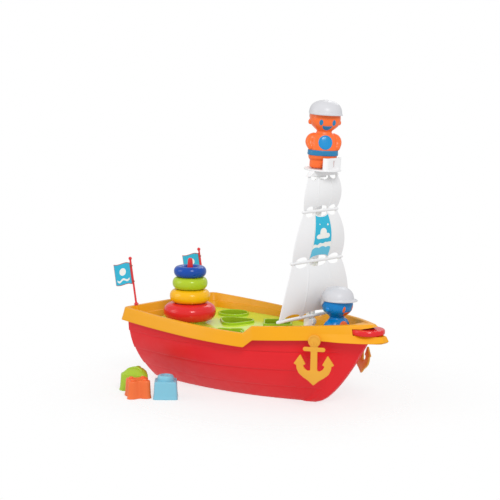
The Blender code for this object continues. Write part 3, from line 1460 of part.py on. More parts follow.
def make_blocks():
    outline = square_outline(BLOCK_SIZE)
    square = block_shell("block_square", outline, SKY)
    radius = SQUARE_STUD_RADIUS
    top = BLOCK_HEIGHT + BLOCK_STUD_HEIGHT
    stud = turned("stud", ((0, BLOCK_HEIGHT - 0.001), (radius, BLOCK_HEIGHT - 0.001), (radius, top - 0.005),
                           (radius * 0.93, top - 0.0015), (radius * 0.8, top), (radius * 0.55, top),
                           (radius * 0.45, top - 0.003), (radius * 0.3, top - 0.003), (radius * 0.22, top - 0.0005),
                           (0, top - 0.0005)), 24)
    join(square, stud)
    hollow_block(square, outline)
    stand_block(square, SQUARE_BLOCK_AT, SQUARE_BLOCK_TURN)

    outline = quatrefoil_outline(0.0)
    wavy = block_shell("block_quatrefoil", outline, ORANGE)
    for quarter in range(4):
        angle = pi / 4 + quarter * pi / 2
        nub = turned("nub", ((0, BLOCK_HEIGHT - 0.001), (NUB_RADIUS, BLOCK_HEIGHT - 0.001),
                             (NUB_RADIUS * 0.9, BLOCK_HEIGHT + NUB_HEIGHT * 0.7), (NUB_RADIUS * 0.5, BLOCK_HEIGHT + NUB_HEIGHT),
                             (0, BLOCK_HEIGHT + NUB_HEIGHT)), 12)
        place(nub, Matrix.Translation((NUB_CIRCLE * cos(angle), NUB_CIRCLE * sin(angle), 0)))
        join(wavy, nub)
    hollow_block(wavy, outline)
    stand_block(wavy, QUATREFOIL_BLOCK_AT, QUATREFOIL_BLOCK_TURN)

    outline = triangle_outline(0.0)
    green = block_shell("block_triangle", outline, LIME)
    rings = []
    for k in range(DOME_RINGS):
        angle = k * DOME_STEEPEST / (DOME_RINGS - 1)
        z = BLOCK_HEIGHT - THINNEST + DOME_HEIGHT * sin(angle)
        rings.append([Vector((x, y, z)) for x, y in scaled(outline, DOME_SHARE * cos(angle))])
    join(green, loft("dome", rings))
    for k in range(3):
        top = BLOCK_HEIGHT + DOME_HEIGHT - DOME_RIB_TOP_SINK - DOME_RIB_STEP * k
        rib = rod("rib", (DOME_RIB_START, 0, top), (DOME_RIB_REACH, 0, BLOCK_HEIGHT + DOME_RIB_END_RISE), DOME_RIB_RADIUS, 7)
        place(rib, Matrix.Rotation(DOME_RIB_TURN + k * 2 * pi / 3, 4, "Z"))
        join(green, rib)
    hollow_block(green, outline)
    stand_block(green, TRIANGLE_BLOCK_AT, TRIANGLE_BLOCK_TURN)


clear_scene()
make_hull()
make_tray()
make_ring_stack(make_sorter_plate())
make_collars()
make_flags()
make_mast()
make_yards()
make_sails()
make_banner()
make_nest()
make_sailors()
make_anchors()
make_bow_disc()
make_blocks()
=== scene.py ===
# Looks of the play boat: finer pieces and moulded-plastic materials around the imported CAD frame.
# Metres, +X towards the bow, +Y to port, +Z up.
from math import copysign, cos, pi, radians, sin, sqrt

import bmesh
import bpy
from mathutils import Matrix, Vector
from mathutils.bvhtree import BVHTree


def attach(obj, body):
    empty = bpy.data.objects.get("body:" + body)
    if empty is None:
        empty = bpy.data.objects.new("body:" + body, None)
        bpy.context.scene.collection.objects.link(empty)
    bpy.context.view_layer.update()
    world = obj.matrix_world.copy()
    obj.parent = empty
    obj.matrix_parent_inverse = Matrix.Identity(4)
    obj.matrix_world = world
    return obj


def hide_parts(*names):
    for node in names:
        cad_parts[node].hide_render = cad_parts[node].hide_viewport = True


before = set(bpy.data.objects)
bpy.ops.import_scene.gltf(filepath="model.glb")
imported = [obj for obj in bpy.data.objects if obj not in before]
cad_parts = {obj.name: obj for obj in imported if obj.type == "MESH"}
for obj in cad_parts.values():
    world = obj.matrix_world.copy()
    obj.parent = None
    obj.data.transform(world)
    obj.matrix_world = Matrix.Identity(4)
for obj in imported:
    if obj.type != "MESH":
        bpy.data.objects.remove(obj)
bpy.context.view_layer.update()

GAP = 0.0003
PLAY = 0.0006
SMOOTH_ANGLE = radians(32)
TURN = 2 * pi


# Colours and materials

PLASTIC_IOR = 1.4
SKIN_GRAIN = 0.00003
SKIN_SCALE = 1500.0
TURNING_GRAIN = 0.00005
TURNING_SCALE = 3000.0


def linear(value):
    value /= 255
    return value / 12.92 if value <= 0.04045 else ((value + 0.055) / 1.055) ** 2.4


def colour(text):
    """A linear colour from its six hexadecimal digits."""
    return tuple(linear(int(text[k:k + 2], 16)) for k in (0, 2, 4))


def shaded(base, factor):
    return (*(min(1.0, channel * factor) for channel in base), 1)


def set_inputs(node, values):
    for name, value in values.items():
        node.inputs[name].default_value = value


def link_all(tree, *rows):
    """Each row gives a node, its output, the node that it feeds and the input there."""
    for source, output, target, place in rows:
        tree.links.new(source.outputs[output], target.inputs[place])


def object_noise(tree, place, scale, detail=3.0):
    noise = tree.nodes.new("ShaderNodeTexNoise")
    set_inputs(noise, {"Scale": scale, "Detail": detail})
    link_all(tree, (place, "Object", noise, "Vector"))
    return noise


def plastic(name, base, roughness, spread, grain=SKIN_GRAIN, grain_scale=SKIN_SCALE):
    """Moulded plastic: slow shifts of shade and gloss over the piece, and a fine skin texture."""
    material = bpy.data.materials.new(name)
    material.use_nodes = True
    tree = material.node_tree
    shader = tree.nodes["Principled BSDF"]
    shader.inputs["IOR"].default_value = PLASTIC_IOR
    place = tree.nodes.new("ShaderNodeTexCoord")
    shade = tree.nodes.new("ShaderNodeMix")
    shade.data_type = "RGBA"
    set_inputs(shade, {"A": shaded(base, 1 - spread), "B": shaded(base, 1 + spread)})
    gloss = tree.nodes.new("ShaderNodeMapRange")
    set_inputs(gloss, {"From Min": 0.3, "From Max": 0.7})
    set_inputs(gloss, {"To Min": roughness * 0.85, "To Max": roughness * 1.18})
    bump = tree.nodes.new("ShaderNodeBump")
    set_inputs(bump, {"Strength": 0.35, "Distance": grain})
    link_all(
        tree,
        (object_noise(tree, place, 14.0), "Fac", shade, "Factor"),
        (shade, "Result", shader, "Base Color"),
        (object_noise(tree, place, 60.0), "Fac", gloss, "Value"),
        (gloss, "Result", shader, "Roughness"),
        (object_noise(tree, place, grain_scale, 2.0), "Fac", bump, "Height"),
        (bump, "Normal", shader, "Normal"),
    )
    return material


HULL_RED = plastic("hull_red", colour("EE1B25"), 0.42, 0.05)
TRAY_YELLOW = plastic("tray_yellow", colour("F1A600"), 0.38, 0.04)
# The deck plate's colour is paler and brighter than the collars' real lime. It is partly the plate's own lime
# and partly a painted reflection of the white surroundings, with painted light that lifts the shade inside
# the tub.
DECK_LIME_WITH_PAINTED_REFLECTION = plastic("deck_lime_with_painted_reflection", colour("D6F24C"), 0.12, 0.05)
COLLAR_LIME = plastic("collar_lime", colour("A6CE28"), 0.18, 0.05)
RING_RED = plastic("ring_red", colour("E2272B"), 0.2, 0.04)
RING_YELLOW = plastic("ring_yellow", colour("FBBC0C"), 0.2, 0.04)
RING_GREEN = plastic("ring_green", colour("B4CE2A"), 0.2, 0.04)
RING_BLUE = plastic("ring_blue", colour("0A4AAC"), 0.2, 0.06)
POLE_RED = plastic("pole_red", colour("E0343A"), 0.26, 0.04)
SAIL_WHITE = plastic("sail_white", colour("EEEEEF"), 0.42, 0.012)
CAP_WHITE = plastic("cap_white", colour("D2D2D6"), 0.34, 0.012)
BANNER_CYAN = plastic("banner_cyan", colour("2AB6D6"), 0.36, 0.03)
BANNER_LIGHT = plastic("banner_light", colour("62C4E2"), 0.36, 0.03)
BANNER_WHITE = plastic("banner_white", colour("F2F2EC"), 0.36, 0.02)
FLAG_EDGE = plastic("flag_edge", colour("A8483C"), 0.4, 0.03)
SAILOR_ORANGE = plastic("sailor_orange", colour("FF7434"), 0.28, 0.04)
SAILOR_BLUE = plastic("sailor_blue", colour("0080CC"), 0.26, 0.05)
TRIM_TEAL = plastic("trim_teal", colour("2A7FB0"), 0.32, 0.05)
BELLY_BLUE = plastic("belly_blue", colour("1A8FCE"), 0.22, 0.04)
TRIM_ORANGE = plastic("trim_orange", colour("E8692E"), 0.3, 0.04)
ANCHOR_AMBER = plastic("anchor_amber", colour("ECAA36"), 0.36, 0.05)
BLOCK_SKY = plastic("block_sky", colour("84C5DB"), 0.34, 0.04)
BLOCK_ORANGE = plastic("block_orange", colour("F4743A"), 0.34, 0.04)
BLOCK_GREEN = plastic("block_green", colour("A9CA34"), 0.26, 0.05)
SCREW_STEEL = plastic("screw_steel", colour("C8C8CC"), 0.32, 0.05, TURNING_GRAIN, TURNING_SCALE)
SCREW_STEEL.node_tree.nodes["Principled BSDF"].inputs["Metallic"].default_value = 1.0


# Mesh helpers

def make_mesh(name, points, faces, material=None):
    """A mesh with its faces turned outward. A tool for cutting or joining needs no material."""
    mesh = bpy.data.meshes.new(name)
    mesh.from_pydata([tuple(point) for point in points], [], faces)
    shape = bmesh.new()
    shape.from_mesh(mesh)
    bmesh.ops.recalc_face_normals(shape, faces=shape.faces)
    shape.to_mesh(mesh)
    shape.free()
    if material:
        mesh.materials.append(material)
    item = bpy.data.objects.new(name, mesh)
    bpy.context.scene.collection.objects.link(item)
    return smooth(item)


def smooth(item, angle=SMOOTH_ANGLE):
    item.data.shade_smooth()
    item.data.set_sharp_from_angle(angle=angle)
    return item


def steps(low, high, count):
    return [low + (high - low) * k / count for k in range(count + 1)]


def clamp(value):
    return min(1.0, max(0.0, value))


def soft_step(share):
    """A share that starts and ends gently."""
    return share * share * (3 - 2 * share)


def circle(radius, sides):
    return [(radius * cos(TURN * s / sides), radius * sin(TURN * s / sides)) for s in range(sides)]


def arc(centre, reach, start, end, count):
    """Points of an ellipse's arc between two angles in degrees."""
    angles = steps(radians(start), radians(end), count)
    return [(centre[0] + reach[0] * cos(a), centre[1] + reach[1] * sin(a)) for a in angles]


def oval(centre, reach, count):
    return arc(centre, reach, 0, 360, count)[:-1]


def flat_ring(outline, z):
    return [Vector((x, y, z)) for x, y in outline]


def flatten(rings):
    return [point for ring in rings for point in ring]


def row_numbers(rings):
    count = len(rings[0])
    return [list(range(n * count, (n + 1) * count)) for n in range(len(rings))]


def bands(rows):
    """The faces between each closed row of point numbers and the next."""
    faces = []
    for low, high in zip(rows, rows[1:]):
        for s in range(len(low)):
            t = (s + 1) % len(low)
            face = list(dict.fromkeys((low[s], low[t], high[t], high[s])))
            if len(face) > 2:
                faces.append(face)
    return faces


def loft(name, rings, material=None):
    """A closed solid through rings of equal point counts, with flat ends."""
    rows = row_numbers(rings)
    return make_mesh(name, flatten(rings), bands(rows) + [rows[0], rows[-1]], material)


def swept_ring(name, sections, material=None):
    """A closed band: equal sections joined one to the next and back to the first."""
    rows = row_numbers(sections)
    return make_mesh(name, flatten(sections), bands(rows + rows[:1]), material)


def prism(name, outline, low, high, material=None):
    return loft(name, [flat_ring(outline, low), flat_ring(outline, high)], material)


def box(name, low, high):
    outline = ((low[0], low[1]), (high[0], low[1]), (high[0], high[1]), (low[0], high[1]))
    return prism(name, outline, low[2], high[2])


def turned(name, profile, sides, material=None):
    """A solid of revolution about Z from a profile of radius and height."""
    rows = []
    points = []
    for radius, z in profile:
        count = sides if radius else 1
        rows.append([len(points) + s % count for s in range(sides)])
        points += flat_ring(circle(radius, count), z)
    if all(radius > 0 for radius, _ in profile):
        rows.append(rows[0])
    return make_mesh(name, points, bands(rows), material)


def rounded(points, radius, rounds=4, closed=True):
    """A profile or outline with each corner turned into a small arc. Each point may carry its own radius."""
    result = []
    count = len(points)
    for i, point in enumerate(points):
        here = Vector(point[:2])
        own = point[2] if len(point) > 2 else radius
        if own <= 0 or (not closed and i in (0, count - 1)):
            result.append(tuple(here))
            continue
        before = Vector(points[i - 1][:2]) - here
        after = Vector(points[(i + 1) % count][:2]) - here
        half = before.angle(after) / 2
        reach = min(own * cos(half) / sin(half), before.length * 0.49, after.length * 0.49)
        start = here + before.normalized() * reach
        end = here + after.normalized() * reach
        for t in steps(0, 1, rounds):
            result.append(tuple(start * (1 - t) ** 2 + here * 2 * t * (1 - t) + end * t ** 2))
    return result


def run_rounded(points, rounds=4):
    """A profile that starts and ends on its first and last point, with each corner between rounded."""
    return rounded(points, 0.001, rounds, closed=False)


def apply_modifiers(item):
    result = item.evaluated_get(bpy.context.evaluated_depsgraph_get())
    mesh = bpy.data.meshes.new_from_object(result)
    item.modifiers.clear()
    item.data = mesh
    return item


def combine(target, tool, operation):
    modifier = target.modifiers.new("shape", "BOOLEAN")
    modifier.operation = operation
    modifier.object = tool
    apply_modifiers(target)
    bpy.data.objects.remove(tool, do_unlink=True)
    return target


def cut(target, tool):
    return combine(target, tool, "DIFFERENCE")


def join(target, tool):
    return combine(target, tool, "UNION")


def soften(item, width, segments, angle=SMOOTH_ANGLE, smooth_angle=radians(40)):
    """Rounds every hard edge."""
    bevel = item.modifiers.new("bevel", "BEVEL")
    bevel.width = width
    bevel.segments = segments
    bevel.limit_method = "ANGLE"
    bevel.angle_limit = angle
    apply_modifiers(item)
    return smooth(item, smooth_angle)


def shift(x, y, z):
    return Matrix.Translation((x, y, z))


def moved(item, matrix):
    item.data.transform(matrix)
    if matrix.determinant() < 0:
        item.data.flip_normals()
    return item


def merge(name, items):
    """Several meshes as one object, each keeping its material."""
    target = items[0]
    shape = bmesh.new()
    materials = []
    for item in items:
        offset = len(materials)
        materials += list(item.data.materials)
        before = len(shape.faces)
        shape.from_mesh(item.data)
        shape.faces.ensure_lookup_table()
        for face in shape.faces[before:]:
            face.material_index += offset
    mesh = bpy.data.meshes.new(name)
    shape.to_mesh(mesh)
    shape.free()
    for material in materials:
        mesh.materials.append(material)
    for item in items[1:]:
        bpy.data.objects.remove(item, do_unlink=True)
    target.data = mesh
    target.name = name
    return target


def fit(item, body, slot, node, matrix=None):
    """The piece rides on its body in place of its CAD node, after a move to its place."""
    if matrix:
        moved(item, matrix)
    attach(item, body)
    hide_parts(node)


# The boat's outline, sheer and hull, as in the part

RIM_HALF_BEAM = 0.155
STERN_X = -0.300
WIDEST_X = -0.120
NOSE_X = 0.262
NOSE_BLUNT = 0.009
NOSE_DRAW = 1.9
STERN_CORNER = 0.012
STERN_TUCK = 0.012
BOTTOM_TUCK = 0.010
BOW_FULLNESS = 2.1
STERN_RIM_Z = 0.1615
WAIST_RIM_Z = 0.1482
FOREDECK_RIM_Z = 0.1645
NOSE_RIM_Z = 0.1800
STEP_START_X = 0.035
STEP_END_X = 0.057
HULL_WALL = 0.0026
HULL_INSET = 0.0075
HULL_DROP = 0.017
HULL_DROP_FORWARD = 0.024
TRANSOM_TOP_X = -0.2920
TRANSOM_BOTTOM_X = -0.2840
BOTTOM_HALF_BEAM = 0.074
BOTTOM_WIDEST_X = -0.160
STEM_FOOT_X = 0.126
STEM_RAKE = 0.130
STEM_CURVE = 0.66
STEM_TOP_Z = 0.150
STEM_HALF_WIDTH = 0.004
SIDE_FULLNESS = 2.1
LAP_DEPTH = 0.0020
LAP_END_SHARE = 0.955
LAP_FADE = 0.030
STEM_LEAST_HALF = 0.0009
LAP_LEVELS = (0.25, 0.54, 0.84)
SHEER_START_X = -0.12
SHEER_RISE = 0.014
SKIRT_DEPTH = 0.027
SKIRT_FLARE = 0.006
NOSE_FLARE = 0.020
NOSE_FLARE_START_X = 0.150
TIP_SHARE = 0.30
TIP_PULL = 0.0014
TIP_LIFT = 0.0045
WAIST_TIP_SHARE = 0.20
# The waist's share of the flare: at the sides, its change towards the nose, and its change at the tip
WAIST_OUT = (0.50, -0.24, 0.46)
WAIST_UP = 0.48
RIM_WIDTH = 0.008
TRAY_WALL = 0.0025
LEDGE_TOP_Z = 0.1446
LEDGE_EDGE_Z = 0.1438
DECK_WALL_INSET = 0.0192
DECK_SEAT_Z = 0.128
DECK_SEAT_INNER = 0.0287
WELL_FLOOR_Z = 0.109
LIP_AFT_X = 0.200
LIP_BOTTOM_Z = 0.144
LIP_TOP_Z = 0.158
LIP_LEVELS = (LIP_BOTTOM_Z + GAP, 0.1458, 0.1474, 0.1490, 0.1530, LIP_TOP_Z)
LIP_ROUNDING = 170
TONGUE_BOTTOM_Z = 0.1705
DISC_X = 0.250
SLOT_RADIUS = 0.0350
SLOT_TURN = radians(3.7)
MAST_RAKE = radians(3.3)
POST_RADIUS = 0.0118
BORE_RADIUS = 0.0121
POLE_FOOT_X = -0.2935
POLE_FROM_MIDDLE = 0.109
POLE_LEAN = radians(-11.3)


def half_beam(x, inset=0.0):
    """Half width of the boat at the rim, or of an outline set in from it."""
    beam = RIM_HALF_BEAM - inset
    nose = NOSE_X + NOSE_BLUNT - NOSE_DRAW * inset
    if x > WIDEST_X:
        share = (x - WIDEST_X) / (nose - WIDEST_X)
        return beam * (1 - min(1.0, share) ** BOW_FULLNESS)
    return beam - STERN_TUCK * ((WIDEST_X - x) / (WIDEST_X - STERN_X)) ** 2


def ramp(share, end):
    """A straight rise from 0 to 1 with a short soft curve at each end."""
    slope = 1 / (1 - end)
    if share < end:
        return slope * share * share / (2 * end)
    if share > 1 - end:
        return 1 - slope * (1 - share) ** 2 / (2 * end)
    return slope * (share - end / 2)


def rim_z(x):
    """The rim's height, with a ramp up to the foredeck."""
    if x < STEP_START_X:
        return WAIST_RIM_Z + (STERN_RIM_Z - WAIST_RIM_Z) * (STEP_START_X - x) / (STEP_START_X - STERN_X)
    if x < STEP_END_X:
        share = ramp((x - STEP_START_X) / (STEP_END_X - STEP_START_X), 0.16)
        return WAIST_RIM_Z + (FOREDECK_RIM_Z - WAIST_RIM_Z) * share
    return FOREDECK_RIM_Z + (NOSE_RIM_Z - FOREDECK_RIM_Z) * (x - STEP_END_X) / (NOSE_X - STEP_END_X)


def rim_stations():
    """Places along the boat, close together at the stern corner, the step and the nose."""
    stations = [STERN_X + STERN_CORNER * (1 - cos(radians(15 * k))) for k in range(7)]
    x = STERN_X + STERN_CORNER
    while x < NOSE_X - 0.001:
        near_step = STEP_START_X - 0.004 < x < STEP_END_X + 0.002
        x += 0.0022 if near_step else min(0.007, 0.0012 + (NOSE_X - x) * 0.06)
        stations.append(min(x, NOSE_X))
    return stations


def rim_point(station, inset):
    """The outline's point that belongs to a station of the rim, on the port side."""
    stern = STERN_X + inset
    nose = NOSE_X - NOSE_DRAW * inset
    x = stern + (station - STERN_X) / (NOSE_X - STERN_X) * (nose - stern)
    y = half_beam(x, inset)
    into = (station - STERN_X) / STERN_CORNER
    if into < 1:
        y -= STERN_CORNER * (1 - sqrt(1 - (1 - into) ** 2))
    return x, y


def mirrored(points):
    return [Vector((p.x, -p.y, p.z)) for p in points]


def both_sides(port):
    """A symmetric loop from port points that run from the stern to the bow."""
    return port + mirrored(port)[::-1]


def rim_outline(inset, z, high_x):
    places = [rim_point(station, inset) for station in rim_stations()]
    places = [(x, y) for x, y in places if x < high_x] + [(high_x, half_beam(high_x, inset))]
    return both_sides(flat_ring(places, z))


def strip_outline(inset, z, low_x, high_x):
    return both_sides([Vector((x, half_beam(x, inset), z)) for x in steps(low_x, high_x, 24)])


def strip_solid(inset, low_x, high_x, low_z, high_z):
    """A flat solid that follows the boat's outline over a length of it."""
    return loft("strip", [strip_outline(inset, z, low_x, high_x) for z in (low_z, high_z)])


def hull_top(x):
    if x < STEP_END_X:
        return rim_z(x) - HULL_DROP
    if x < LIP_AFT_X - PLAY:
        return rim_z(x) - HULL_DROP_FORWARD
    return LIP_BOTTOM_Z - GAP


def hull_point(share, level, wall, lap, top_extra):
    """A point of the port side: share runs from transom to stem, level from bottom to top.
    Each plank stands out over the one below it by a lap, which fades before the stem."""
    nominal = TRANSOM_TOP_X + (STEM_FOOT_X + STEM_RAKE * level ** STEM_CURVE - TRANSOM_TOP_X) * share
    sheer = clamp((nominal - SHEER_START_X) / (NOSE_X - SHEER_START_X)) ** 2
    lap_line = WAIST_RIM_Z - HULL_DROP + SHEER_RISE * sheer
    top_lap = LAP_LEVELS[-1] + 0.01
    above = max(0.0, (level - top_lap) / (1 - top_lap))
    z = level * (lap_line + (hull_top(nominal) - lap_line) * above)
    stem = STEM_FOOT_X + STEM_RAKE * (z / STEM_TOP_Z) ** STEM_CURVE - wall
    transom = TRANSOM_BOTTOM_X + (TRANSOM_TOP_X - TRANSOM_BOTTOM_X) * level + wall
    x = transom + (stem - transom) * share
    width = 1 - (1 - level) ** SIDE_FULLNESS
    beam = BOTTOM_HALF_BEAM + (RIM_HALF_BEAM - HULL_INSET - BOTTOM_HALF_BEAM) * width
    widest = BOTTOM_WIDEST_X + (WIDEST_X - BOTTOM_WIDEST_X) * width
    if x > widest:
        run = (x - widest) / (stem - widest)
        y = STEM_HALF_WIDTH + (beam - STEM_HALF_WIDTH) * (1 - run ** BOW_FULLNESS)
    else:
        tuck = BOTTOM_TUCK + (STERN_TUCK - BOTTOM_TUCK) * width
        y = beam - tuck * ((widest - x) / (widest - transom)) ** 2
    fade = clamp((LAP_END_SHARE - share) / LAP_FADE)
    lift = top_extra if level == 1 else wall * (1 - level)
    return Vector((x, max(y - wall - LAP_DEPTH * lap * fade, STEM_LEAST_HALF), z + lift))


def hull_skin(name, wall, top_extra=0.0):
    """The hull's outside shape, or its inside when a wall is given."""
    laps = len(LAP_LEVELS)
    levels = [(level, laps) for level in (0.0, 0.03, 0.07)]
    for k, lap_level in enumerate(LAP_LEVELS):
        levels += [(level, laps - k) for level in steps(levels[-1][0] + 0.02, lap_level - 0.010, 5)]
        for beyond, drop in ((-0.0045, -0.12), (-0.0015, 0.05), (0.0015, 0.9), (0.0050, 1)):
            levels.append((lap_level + beyond, laps - k - drop))
    levels += [(level, 0) for level in (0.87, 0.90, 0.94, 1.0)]
    shares = steps(0, 0.84, 60)[:-1] + steps(0.84, 1, 26)
    count = len(shares)
    points = [hull_point(share, level, wall, lap, top_extra) for level, lap in levels for share in shares]
    mirror = len(points)
    points += mirrored(points)
    faces = []
    for k in range(len(levels) - 1):
        low = k * count
        for a in range(low, low + count - 1):
            faces.append((a, a + 1, a + 1 + count, a + count))
            faces.append((a + count + mirror, a + 1 + count + mirror, a + 1 + mirror, a + mirror))
        faces.append((low, low + count, low + count + mirror, low + mirror))
        bow = low + count - 1
        faces.append((bow, bow + mirror, bow + count + mirror, bow + count))
    for start in (0, (len(levels) - 1) * count):
        for a in range(start, start + count - 1):
            faces.append((a, a + mirror, a + 1 + mirror, a + 1))
    return make_mesh(name, points, faces, HULL_RED)


def make_hull():
    hull = hull_skin("hull_shell", 0.0)
    cut(hull, hull_skin("cavity", HULL_WALL, SKIRT_DEPTH))
    smooth(hull, radians(38))
    fit(hull, "boat", "red", "hull")


def nose_share(station):
    return max(0.0, (station - NOSE_FLARE_START_X) / (NOSE_X - NOSE_FLARE_START_X))


def skirt_edge(station):
    """How far the skirt's lower edge stands out from the rim, and its height. It runs out into the nose."""
    share = nose_share(station)
    flare = SKIRT_FLARE + (NOSE_FLARE - SKIRT_FLARE) * share ** 1.5
    z = rim_z(station) - SKIRT_DEPTH
    tip = max(0.0, (share - (1 - TIP_SHARE)) / TIP_SHARE) ** 2
    lift = (LIP_BOTTOM_Z - z) * soft_step(min(1.0, share * 2)) + TIP_LIFT * tip
    return flare - TIP_PULL * tip, z + lift


def skirt_waist(station):
    """The hollow of the skirt's outer face near the nose: how far it stands out, and its height."""
    flare, skirt_z = skirt_edge(station)
    share = nose_share(station)
    tip = max(0.0, (share - (1 - WAIST_TIP_SHARE)) / WAIST_TIP_SHARE)
    hollow = WAIST_OUT[0] + WAIST_OUT[1] * min(1.0, share * 2) + WAIST_OUT[2] * soft_step(tip)
    return flare * hollow, skirt_z + (rim_z(station) - skirt_z) * WAIST_UP


def tray_profile(station):
    """The tray's wall in section: skirt, gunwale, inner wall with its ledge, and the deck's seat.
    Each corner is given as inset, height and rounding."""
    top = rim_z(station)
    under = top - 0.004
    flare, skirt_z = skirt_edge(station)
    waist, waist_z = skirt_waist(station)
    return rounded((
        (-flare, skirt_z, 0.0006), (-waist, waist_z, 0.0030), (-0.0004, top, 0.0026),
        (RIM_WIDTH + 0.0004, top, 0.0026), (0.0135, LEDGE_TOP_Z, 0.0012), (0.0165, LEDGE_EDGE_Z, 0.0009),
        (DECK_WALL_INSET, DECK_SEAT_Z, 0.0006), (DECK_SEAT_INNER, DECK_SEAT_Z, 0),
        (DECK_SEAT_INNER, DECK_SEAT_Z - TRAY_WALL, 0),
        (DECK_WALL_INSET - TRAY_WALL, DECK_SEAT_Z - TRAY_WALL, 0),
        (0.0140, 0.1415, 0), (RIM_WIDTH - TRAY_WALL, under, 0), (0.0010, under, 0),
        (TRAY_WALL - waist, waist_z, 0), (TRAY_WALL - flare, skirt_z, 0.0006),
    ), 0.001)


def lip_outline(z):
    """The nose's lip at height z, just inside the skirt's outer face and rounded below it."""
    port = []
    for turn in steps(0, pi / 2, 32):
        station = LIP_AFT_X + (NOSE_X - LIP_AFT_X) * sin(turn)
        flare, skirt_z = skirt_edge(station)
        waist, waist_z = skirt_waist(station)
        if z < skirt_z:
            out = flare - LIP_ROUNDING * (skirt_z - z) ** 2
        elif z < waist_z:
            out = waist + (flare - waist) * (waist_z - z) / (waist_z - skirt_z)
        else:
            out = waist * (rim_z(station) - z) / (rim_z(station) - waist_z)
        port.append(Vector((*rim_point(station, 0.0010 - out), z)))
    return both_sides(port)


def rod(start, end, radius):
    turn = (end - start).to_track_quat("Z", "Y").to_matrix()
    ring = flat_ring(circle(radius, 32), 0)
    return loft("rod", [[centre + turn @ point for point in ring] for centre in (start, end)])


def make_tray():
    """The yellow deck moulding, closed at the bow by the nose, the foredeck and the bow well."""
    port = []
    for station in rim_stations():
        port.append([Vector((*rim_point(station, inset), z)) for inset, z in tray_profile(station)])
    starboard = [mirrored(section) for section in reversed(port)]
    tray = swept_ring("deck_moulding", port + starboard, TRAY_YELLOW)
    nose = loft("nose", [lip_outline(z) for z in LIP_LEVELS])
    end = NOSE_X - 0.008
    core = strip_outline(0.004, LIP_TOP_Z - 0.002, 0.2075, end)
    core_top = [Vector((p.x, p.y, rim_z(p.x) - 0.001)) for p in strip_outline(0.004, 0.0, 0.222, end)]
    join(nose, loft("core", [core, core_top]))
    join(tray, nose)
    low = LIP_TOP_Z + GAP
    corners = ((0, low), (SLOT_RADIUS, low), (SLOT_RADIUS, TONGUE_BOTTOM_Z), (0, TONGUE_BOTTOM_Z))
    place = shift(DISC_X, 0, 0) @ Matrix.Rotation(SLOT_TURN, 4, "Z")
    cut(tray, moved(turned("slot", corners, 72), place))
    low += 0.00005
    far = NOSE_X + 0.06
    opening = ((DISC_X + 0.0137, low), (far, low), (far, TONGUE_BOTTOM_Z + 0.0175),
               (DISC_X - 0.0040, TONGUE_BOTTOM_Z - 0.0006))
    cut(tray, loft("front", [[Vector((x, y, z)) for x, z in opening] for y in (-0.052, 0.052)]))
    for inset, low_x, high_x, bottom, top in (
            (0.0035, 0.126, 0.203, WELL_FLOOR_Z - TRAY_WALL, 0.0008),
            (0.003, 0.082, 0.130, DECK_SEAT_Z - 0.0021, 0.0004),
            (0.003, 0.199, 0.214, DECK_SEAT_Z - 0.0021, 0.0004)):
        join(tray, strip_solid(DECK_SEAT_INNER - inset, low_x, high_x, bottom, DECK_SEAT_Z - top))
    cut(tray, strip_solid(DECK_SEAT_INNER - 0.0010, 0.1285, 0.2005, WELL_FLOOR_Z, DECK_SEAT_Z + 0.002))
    join(tray, rod(mast_point(-0.004), mast_point(0.0165), 0.0148))
    cut(tray, rod(mast_point(-GAP), mast_point(0.060), BORE_RADIUS))
    for side in (-1, 1):
        join(tray, rod(pole_point(side, -0.013), pole_point(side, -0.0008), 0.0062))
        cut(tray, rod(pole_point(side, -0.011), pole_point(side, 0.010), 0.0035))
    smooth(tray, radians(38))
    fit(tray, "boat", "yellow", "deck_tray")


def mast_matrix():
    foot = Vector((0.1000 - 0.018 * sin(MAST_RAKE), 0, 0.110))
    return Matrix.Translation(foot) @ Matrix.Rotation(MAST_RAKE, 4, "Y")


def mast_point(height):
    return mast_matrix() @ Vector((0, 0, height))


def pole_matrix(side):
    foot = (POLE_FOOT_X, side * POLE_FROM_MIDDLE, STERN_RIM_Z)
    return Matrix.Translation(foot) @ Matrix.Rotation(POLE_LEAN, 4, "Y")


def pole_point(side, height):
    return pole_matrix(side) @ Vector((0, 0, height))


# Sorter plate, stacking rings and flags

PLATE_THICKNESS = 0.003
PLATE_BOW_X = 0.086
STACK_AT = (-0.1855, -0.054)
COLLAR_WALL = 0.003
HOLE_PLAY = 0.0015
BLOCK_SIZE = 0.0510
BLOCK_CORNER = 0.0062
TRIANGLE_REACH = 0.0510
TRIANGLE_CORNER = 0.0150
QUATREFOIL_RADIUS = 0.0262
QUATREFOIL_WAVE = 0.0062
PEG_FOOT_Z = 0.1371
PEG_TOP_Z = 0.2715
RING_BORE = 0.0135
RINGS = (
    ("ring_red", 0.0564, 0.0376, RING_RED, "red_ring", "bright_red"),
    ("ring_yellow", 0.0434, 0.0292, RING_YELLOW, "yellow_ring", "yellow"),
    ("ring_green", 0.0377, 0.0262, RING_GREEN, "green_ring", "lime"),
    ("ring_blue", 0.0349, 0.0232, RING_BLUE, "blue_ring", "ring_blue"),
)


def square_outline(size):
    half = size / 2
    return rounded(((-half, -half), (half, -half), (half, half), (-half, half)), BLOCK_CORNER, 10)


def triangle_outline(grow):
    reach = TRIANGLE_REACH + 2 * grow
    corner = TRIANGLE_CORNER + grow
    inner = reach - 2 * corner
    outline = []
    for middle in (90, 210, 330):
        at = Vector((reach * cos(radians(middle)), reach * sin(radians(middle)))) * (inner / reach)
        outline += arc(at, (corner, corner), middle - 60, middle + 60, 16)
    return outline


def quatrefoil_outline(grow):
    """A wavy square: four soft lobes at its corners with a dip in the middle of each side."""
    outline = []
    for angle in steps(0, TURN, 96)[:-1]:
        radius = QUATREFOIL_RADIUS - QUATREFOIL_WAVE * cos(4 * angle) + grow
        outline.append((radius * cos(angle), radius * sin(angle)))
    return outline


